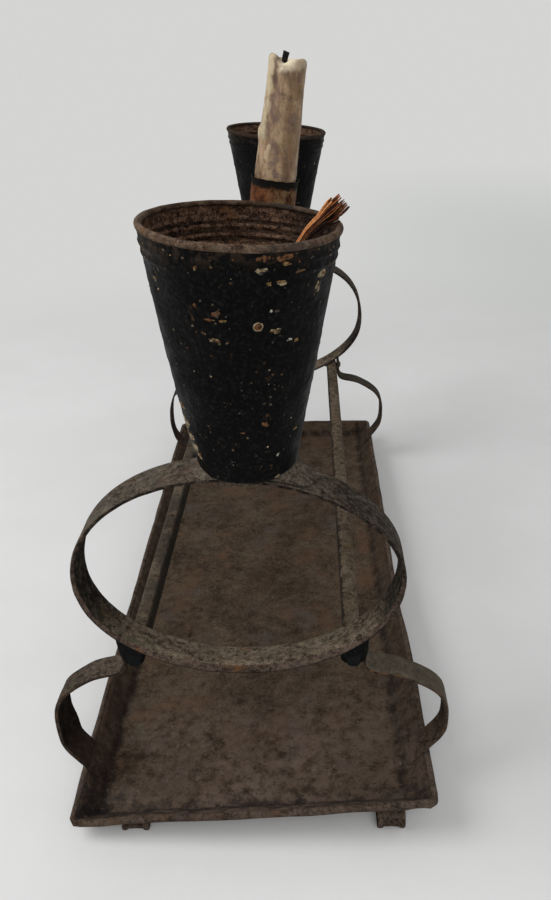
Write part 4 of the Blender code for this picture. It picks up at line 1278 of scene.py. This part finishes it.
def scattered_marks(end, chance):
    """Flakes of a cup by chance: all round it, and as fine specks on the near cup's front."""
    near = end == "near"
    marks = []
    for _ in range(70 if near else 45):
        angle = chance.uniform(-180, 180)
        if near and FRONT[0] < angle < FRONT[1]:
            continue
        kind = chance.choice(("cream", "ochre", "rust", "rust", "grey", "grey", "white"))
        wide = chance.uniform(0.35, 1.5) * (1.5 if kind == "rust" else 1.0)
        marks.append((angle, chance.uniform(4, 82), wide, wide * chance.uniform(0.4, 1.1), kind))
    if not near:
        return marks
    mostly_grey = ("grey", "grey", "grey", "grey", "grey", "cream", "rust")
    mixed = ("grey", "grey", "rust", "ochre", "cream")
    for count, widths, kinds, heights, ratios in (
            (85, (0.16, 0.46), mostly_grey, (4, 84), (0.7, 1.2)),
            (46, (0.18, 0.60), mixed, (76, 85), (0.6, 1.2))):
        for _ in range(count):
            wide = chance.uniform(*widths)
            kind = chance.choice(kinds)
            angle = chance.uniform(*FRONT)
            marks.append((angle, chance.uniform(*heights), wide, wide * chance.uniform(*ratios), kind))
    return marks


def broken_up(marks, chance):
    """The same marks, the larger ones broken into clusters of blobs."""
    blobs = []
    for angle, height, wide, tall, kind in marks:
        if kind == "ring" or wide < 0.8:
            blobs.append((angle, height, wide * 0.85, tall * 0.85, kind))
            continue
        for _ in range(3 + round(2 * wide)):
            way = chance.uniform(0, 2 * math.pi)
            apart = 0.62 * math.sqrt(chance.random())
            turn = math.degrees(wide * apart * math.cos(way) / 1000 / cup_radius(height / 1000))
            rise = tall * apart * math.sin(way)
            size = chance.uniform(0.22, 0.50)
            other = kind if chance.random() < 0.75 else chance.choice(("ochre", "rust", "grey"))
            blobs.append((angle + turn, height + rise, wide * size, tall * size * 1.15, other))
    return blobs


def make_flakes(end, placed):
    """Paint flakes, blisters and droplets that stand a little proud of a cup's wall."""
    chance = random.Random(7 if end == "near" else 8)
    marks = list(NEAR_FLECKS) if end == "near" else []
    marks += scattered_marks(end, chance)
    kinds = list(flecks)
    points = []
    faces = []
    slots = []
    for angle, height, wide, tall, kind in broken_up(marks, chance):
        ring = kind == "ring"
        start = len(points)
        turn = math.radians(angle)
        rows = (1.0, 0.72, 0.40) if ring else (1.0, 0.7)
        lifts = (-0.05, 0.22, 0.02) if ring else (-0.05, 0.10)
        for row, lift in zip(rows, lifts):
            for way in turns(FLAKE_SIDES):
                spot = (math.cos(way), math.sin(way), angle)
                ragged = 1 + (0.15 if ring else 0.50) * rough(spot, 1.6, 141 + height)
                across = wide * row * ragged * math.cos(way) / 1000
                rise = tall * row * ragged * math.sin(way) / 1000
                level = clamp(height / 1000 + rise, 0.0005, FLAKE_TOP)
                skin = cup_skin(end, turn + across / cup_radius(level), level)
                points.append(placed @ (skin + outward_from(skin) * lift / 1000))
        skin = cup_skin(end, turn, min(height / 1000, FLAKE_TOP))
        points.append(placed @ (skin + outward_from(skin) * (0.00002 if ring else 0.00014)))
        for row in range(len(rows)):
            here = start + row * FLAKE_SIDES
            there = here + FLAKE_SIDES
            for side in range(FLAKE_SIDES):
                after = (side + 1) % FLAKE_SIDES
                if row < len(rows) - 1:
                    faces.append((here + side, here + after, there + after, there + side))
                else:
                    faces.append((here + side, here + after, there))
                centre = ring and row > 0
                slots.append(kinds.index("rust" if centre else "cream" if ring else kind))
    piece("cup_%s_flakes" % end, points, faces, list(flecks.values()), slots, slot="black_paint", crease=70)


def make_cup(end):
    """A tapered cup: dented wall, rolled rim, solder at its foot and flakes."""
    placed = cup_frame(end)
    make_cup_wall(end, placed)
    make_cup_rim(end, placed)
    make_solder(end, placed)
    make_flakes(end, placed)


def make_socket(placed):
    """The socket's tube, open at both ends, with a ragged lip."""
    rows = 40
    heights = [TUBE_LOW + (TUBE_HIGH - TUBE_LOW) * step / rows for step in range(rows + 1)]
    sections = []
    for inside in (False, True):
        for height in (reversed(heights) if inside else heights):
            section = []
            for angle in turns(CANDLE_AROUND):
                way = level_way(angle)
                spot = way * TUBE_RADIUS + upright(height)
                dent = 0.00016 * rough(spot, 90, 151) + 0.00008 * rough(spot, 350, 152)
                lip = 0.0005 * step_up(height, TUBE_HIGH - 0.0016, TUBE_HIGH)
                ragged = 0.0004 * rough(way * 0.012, 260, 153) if height == heights[-1] else 0.0
                radius = TUBE_RADIUS + lip + (max(0.0, dent) - TUBE_SHEET if inside else dent)
                section.append(placed @ (way * radius + upright(height + ragged)))
            sections.append(section)
    lofted("socket_tube", sections, socket_finish, loop=True, swaps=["candle_socket"], slot="socket_rust")


def candle_radius(angle, height):
    """Radius of the candle with its wax runs, at an angle in degrees."""
    radius = CANDLE_RADIUS + (CANDLE_TOP - CANDLE_RADIUS) * step_up(height, TUBE_HIGH, CANDLE_HIGH)
    spot = level_way(math.radians(angle)) * 0.01 + upright(height)
    free = step_up(height, TUBE_HIGH + 0.001, TUBE_HIGH + 0.004)
    radius += free * (0.00030 * rough(spot, 70, 161) + 0.00014 * rough(spot, 300, 162))
    run = near_angle(angle, 214, 30) * step_up(height, 0.1010, 0.1050)
    radius += free * run * (0.0012 + 0.0005 * rough((0, 0, height), 160, 163))
    blob = near_angle(angle, 190, 22) * (1 - step_up(abs(height - 0.1035), 0.001, 0.0055))
    second = near_angle(angle, 243, 11) * (1 - step_up(abs(height - 0.0955), 0.001, 0.0045))
    third = near_angle(angle, 150, 18) * step_up(height, 0.1050, 0.1090)
    far_run = near_angle(angle, 60, 16) * step_up(height, 0.0980, 0.1020)
    groove = near_angle(angle, 240, 12) * step_up(height, 0.1160, 0.1260)
    relief = 0.0010 * blob + 0.0009 * second + 0.0007 * third + 0.0007 * far_run - 0.0009 * groove
    return radius + free * relief


def candle_top(angle, share):
    """Height of the candle's burnt top, at an angle in degrees and a share of its radius."""
    spot = level_way(math.radians(angle)) * share * 0.009
    horn = 0.0018 * near_angle(angle, 212, 44) * step_up(share, 0.40, 0.86)
    rim = (0.0010 + 0.0008 * near_angle(angle, 325, 75)) * step_up(share, 0.35, 0.80)
    dish = -0.0012 * (1 - step_up(share, 0.15, 0.85))
    notch = -0.0022 * near_angle(angle, 254, 34) * step_up(share, 0.2, 0.8)
    return CANDLE_HIGH - 0.0003 + horn + rim + dish + notch + 0.0004 * rough(spot, 330, 164)


def make_candle(placed):
    """The candle, with wax runs and a burnt top."""
    angles = [360 * step / CANDLE_AROUND for step in range(CANDLE_AROUND)]
    hidden_rows = 6
    free_rows = 60
    levels = [CANDLE_LOW + (TUBE_HIGH - CANDLE_LOW) * step / hidden_rows for step in range(hidden_rows)]
    levels += [TUBE_HIGH + (SHOULDER - TUBE_HIGH) * step / free_rows for step in range(free_rows + 1)]
    sections = []
    for height in levels:
        lifted = step_up(height, CANDLE_HIGH - 0.014, SHOULDER)
        section = []
        for angle in angles:
            way = level_way(math.radians(angle)) * candle_radius(angle, height)
            rise = lifted * (candle_top(angle, 1.0) - 0.0018 - SHOULDER)
            section.append(placed @ (way + upright(height + rise)))
        sections.append(section)
    for share, drop in ((0.98, 0.0010), (0.93, 0.0004), (0.85, 0.0001), (0.75, 0), (0.62, 0), (0.48, 0),
                        (0.32, 0), (0.16, 0)):
        section = []
        for angle in angles:
            way = level_way(math.radians(angle)) * (candle_radius(angle, levels[-1]) * share)
            section.append(placed @ (way + upright(candle_top(angle, share) - drop)))
        sections.append(section)
    lofted("candle_wax", sections, old_wax, body="candle_body", swaps=["candle"], slot="wax", crease=60)


def make_wick(placed):
    """The wick, through the candle and charred where it stands out."""
    steps = 30
    bend = 20
    high = CANDLE_HIGH + WICK_OUT
    sections = []
    for step in range(steps + 1):
        height = CANDLE_LOW + (high - CANDLE_LOW) * step / steps
        if step > bend:
            height = CANDLE_HIGH - WICK_DEEP + (WICK_DEEP + WICK_OUT) * (step - bend) / (steps - bend)
        lean = 0.0006 * step_up(height, CANDLE_HIGH, high)
        lean -= 0.0017 * step_up(height, 0.100, CANDLE_HIGH - 0.002)
        burnt = 0.0006 * step_up(height, high - 0.001, high)
        section = []
        for turn in turns(WIRE_SIDES):
            spot = level_way(turn) + upright(height * 100)
            size = WICK_RADIUS * (1 + 0.22 * rough(spot, 2.2, 171))
            slant = 0.0004 * math.cos(turn) * step_up(height, high - 0.002, high)
            section.append(placed @ Vector((math.cos(turn) * size * 1.20 + lean, math.sin(turn) * size * 0.8,
                                            height - slant - burnt)))
        sections.append(section)
    lofted("wick_charred_stub", sections, char, body="candle_body", swaps=["wick"], slot="wick")


def make_bundle():
    """Coarse fibres, tight below the rim and frayed at the tip, lighter on top and darker in the middle and
    below as painted light and shade, with short dark ones under them that paint the shade between the bundle
    and the rim.
    """
    chance = random.Random(11)
    above = (Vector((0, 0, 1)) - BUNDLE_AXIS * BUNDLE_AXIS.z).normalized()
    placed = Matrix((BUNDLE_AXIS.cross(above), above, BUNDLE_AXIS)).transposed().to_4x4()
    placed.translation = BUNDLE_PLACE
    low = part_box("fibre_bundle")[0]
    reach = (BUNDLE_PLACE.x - low.x) / BUNDLE_AXIS.x - 0.0026
    points = []
    faces = []
    slots = []
    for strand in range(STRANDS):
        spread = math.sqrt(chance.random())
        angle = chance.uniform(0, 2 * math.pi)
        above_share = spread * math.sin(angle)
        aside_share = spread * math.cos(angle)
        end = 0.0067 - 0.0020 * chance.random() ** 2 - 0.0022 * step_up(above_share, 0.55, 1.0)
        size = chance.uniform(0.00028, 0.00050)
        # Painted light and shade: strands on the bundle's upper side take the lighter fibre finishes and
        # those below the darker ones
        shade = 0 if above_share > 0.66 else 1 if above_share > 0.05 else 2
        # Painted shade: strands in the middle of the bundle are dark
        if spread < 0.45:
            shade = DARK_FIBRE
            end -= 0.0030
        elif chance.random() < 0.30:
            shade = chance.choice((0, 1, 2, DARK_FIBRE))
        # Painted shade: the fillers are short dark strands under the bundle, between it and the rim
        if strand >= STRANDS - FILLERS:
            above_share = chance.uniform(-1.5, -0.6)
            end = chance.uniform(-0.002, 0.002)
            shade = DARK_FIBRE
        burnt = chance.random() < 0.2
        start = len(points)
        for step in range(STRAND_STEPS + 1):
            along = -reach + (reach + end) * (step / STRAND_STEPS) ** 0.6
            half = 0.0013 + 0.0005 * step_up(along, -0.0115, -0.0050)
            half += 0.0014 * step_up(along, -0.0035, 0.0030)
            bow = 0.0018 * step_up(along, -0.0180, -0.0070)
            loose = 0.00012 + 0.00030 * step_up(along, -0.004, 0.006)
            wobble = loose * rough((strand, 0, along), 160, 181)
            middle = Vector((aside_share * half * 0.8 + wobble, above_share * half + bow - wobble, along))
            thick = size * (1.0 if step < STRAND_STEPS else 0.7)
            for bend in turns(STRAND_SIDES):
                bend += strand
                ring = Vector((math.cos(bend) * thick, math.sin(bend) * thick * 0.7, 0))
                points.append(placed @ (middle + ring))
        for step in range(STRAND_STEPS):
            here = start + step * STRAND_SIDES
            there = here + STRAND_SIDES
            for facet in range(STRAND_SIDES):
                after = (facet + 1) % STRAND_SIDES
                faces.append((here + facet, here + after, there + after, there + facet))
                slots.append(DARK_FIBRE if burnt and step == STRAND_STEPS - 1 else shade)
        faces.append(tuple(range(start, start + STRAND_SIDES)))
        slots.append(DARK_FIBRE)
        faces.append(tuple(range(len(points) - STRAND_SIDES, len(points))))
        slots.append(max(2, shade))
    piece("fibre_strands", points, faces, fibres, slots, body="bundle_body", swaps=["fibre_bundle"],
          slot="fibre")


def dress_nodes():
    """Finishes for the CAD nodes that stay in sight."""
    for name, node in nodes.items():
        if node.hide_render:
            continue
        node.data.materials.clear()
        node.data.materials.append(cup_inside if name.startswith("cup_base") else strap_rust)


def seen_ray(tree):
    """Share of camera, glossy and transmission rays, which see the backdrop's own colour."""
    path = tree.nodes.new("ShaderNodeLightPath")
    seen = path.outputs["Is Camera Ray"]
    for other in ("Is Glossy Ray", "Is Transmission Ray"):
        larger = tree.nodes.new("ShaderNodeMath")
        larger.operation = "MAXIMUM"
        tree.links.new(seen, larger.inputs[0])
        tree.links.new(path.outputs[other], larger.inputs[1])
        seen = larger.outputs[0]
    return seen


def floor_finish():
    """Pale paper that fades into the backdrop's colour away from the object, with a painted shadow that
    darkens that colour to the right of the object.
    """
    made = Finish("floor_paper")
    tone = made.cloud(9, 201, 4)
    colour = made.ramp(tone, (0.35, (0.695, 0.695, 0.690)), (0.65, (0.730, 0.730, 0.728)))
    made.bump(made.cloud(120, 202, 4), 0.08, 0.002)
    surface = made.done(colour, 0.9, 0.2)
    length = made.add("ShaderNodeVectorMath")
    length.operation = "LENGTH"
    made.fill(length.inputs[0], made.place)
    distance = Value(made, length.outputs["Value"])
    # Painted shadow: the backdrop's glow is darker to the right of the object
    shade = made.x.span(-0.10, 0.45) * distance.span(0.8, 2.0, 1.0, 0.0)
    glow = made.add("ShaderNodeEmission", Color=made.mix(shade, BACKDROP, (0.545, 0.56, 0.54)))
    blend = made.add("ShaderNodeMixShader")
    made.fill(blend.inputs[0], distance.span(0.33, 0.85) * seen_ray(made.tree))
    made.fill(blend.inputs[1], made.shader.outputs["BSDF"])
    made.fill(blend.inputs[2], glow.outputs["Emission"])
    made.fill(made.tree.nodes["Material Output"].inputs["Surface"], blend.outputs["Shader"])
    return surface


def make_floor():
    """Round pale floor."""
    mesh = bpy.data.meshes.new("floor")
    ring = [level_way(math.radians(turn)) * 6 for turn in range(0, 360, 5)]
    mesh.from_pydata(ring, [], [tuple(range(len(ring)))])
    mesh.materials.append(floor_finish())
    floor = bpy.data.objects.new("floor", mesh)
    bpy.context.scene.collection.objects.link(floor)


def make_light():
    """Even studio light all round, and two soft lamps, at the left and in front."""
    scene = bpy.context.scene
    world = bpy.data.worlds.new("studio")
    scene.world = world
    world.use_nodes = True
    tree = world.node_tree
    blend = tree.nodes.new("ShaderNodeMix")
    blend.data_type = "RGBA"
    tree.links.new(seen_ray(tree), blend.inputs[0])
    blend.inputs[6].default_value = (0.46, 0.46, 0.46, 1)
    blend.inputs[7].default_value = (*BACKDROP, 1)
    tree.links.new(blend.outputs[2], tree.nodes["Background"].inputs["Color"])
    aim = Vector((0, 0, 0.1))
    for name, place, size, power in (("key", (-1.0, -0.3, 1.25), 1.0, 12.5),
                                     ("front", (0.2, -1.6, 1.5), 1.4, 14.5)):
        lamp = bpy.data.lights.new(name, "AREA")
        lamp.shape = "DISK"
        lamp.size = size
        lamp.energy = power
        holder = bpy.data.objects.new(name, lamp)
        holder.location = place
        holder.rotation_mode = "QUATERNION"
        holder.rotation_quaternion = (aim - Vector(place)).to_track_quat("-Z", "Y")
        scene.collection.objects.link(holder)


def make_camera():
    """Camera at the photo's viewing angle."""
    scene = bpy.context.scene
    level = Vector((math.cos(CAMERA_YAW), -math.sin(CAMERA_YAW), 0))
    ahead = Vector((math.sin(CAMERA_YAW) * math.cos(CAMERA_PITCH),
                    math.cos(CAMERA_YAW) * math.cos(CAMERA_PITCH), -math.sin(CAMERA_PITCH)))
    down = ahead.cross(level)
    right = level * math.cos(CAMERA_ROLL) + down * math.sin(CAMERA_ROLL)
    below = down * math.cos(CAMERA_ROLL) - level * math.sin(CAMERA_ROLL)
    camera = bpy.data.objects.new("camera", bpy.data.cameras.new("camera"))
    camera.data.lens = CAMERA_LENS
    camera.data.sensor_width = 36
    camera.data.clip_start = 0.01
    camera.data.clip_end = 50
    camera.matrix_world = Matrix((right, -below, -ahead)).transposed().to_4x4()
    camera.location = CAMERA_PLACE
    scene.collection.objects.link(camera)
    scene.camera = camera
    scene.view_settings.view_transform = "Standard"


make_pan()
make_tray_rim()
for end in ENDS:
    for side, _ in SIDES:
        make_foot("foot_%s_%s" % (end, side))
for end in ENDS:
    for side, flip in SIDES:
        make_bracket(end, side, flip)
for side, _ in SIDES:
    make_rail(side)
make_ring("near", 101)
make_ring("far", 105)
make_rail_solder("left", -1, 0.0006)
make_rail_solder("right", 1, 0.0016)
for end in ENDS:
    make_cup(end)
candle_frame = Matrix.Translation(CANDLE_PLACE) @ Matrix.Rotation(CANDLE_LEAN, 4, "Y")
make_socket(candle_frame)
make_candle(candle_frame)
make_wick(candle_frame)
make_bundle()
dress_nodes()
make_floor()
make_light()
make_camera()
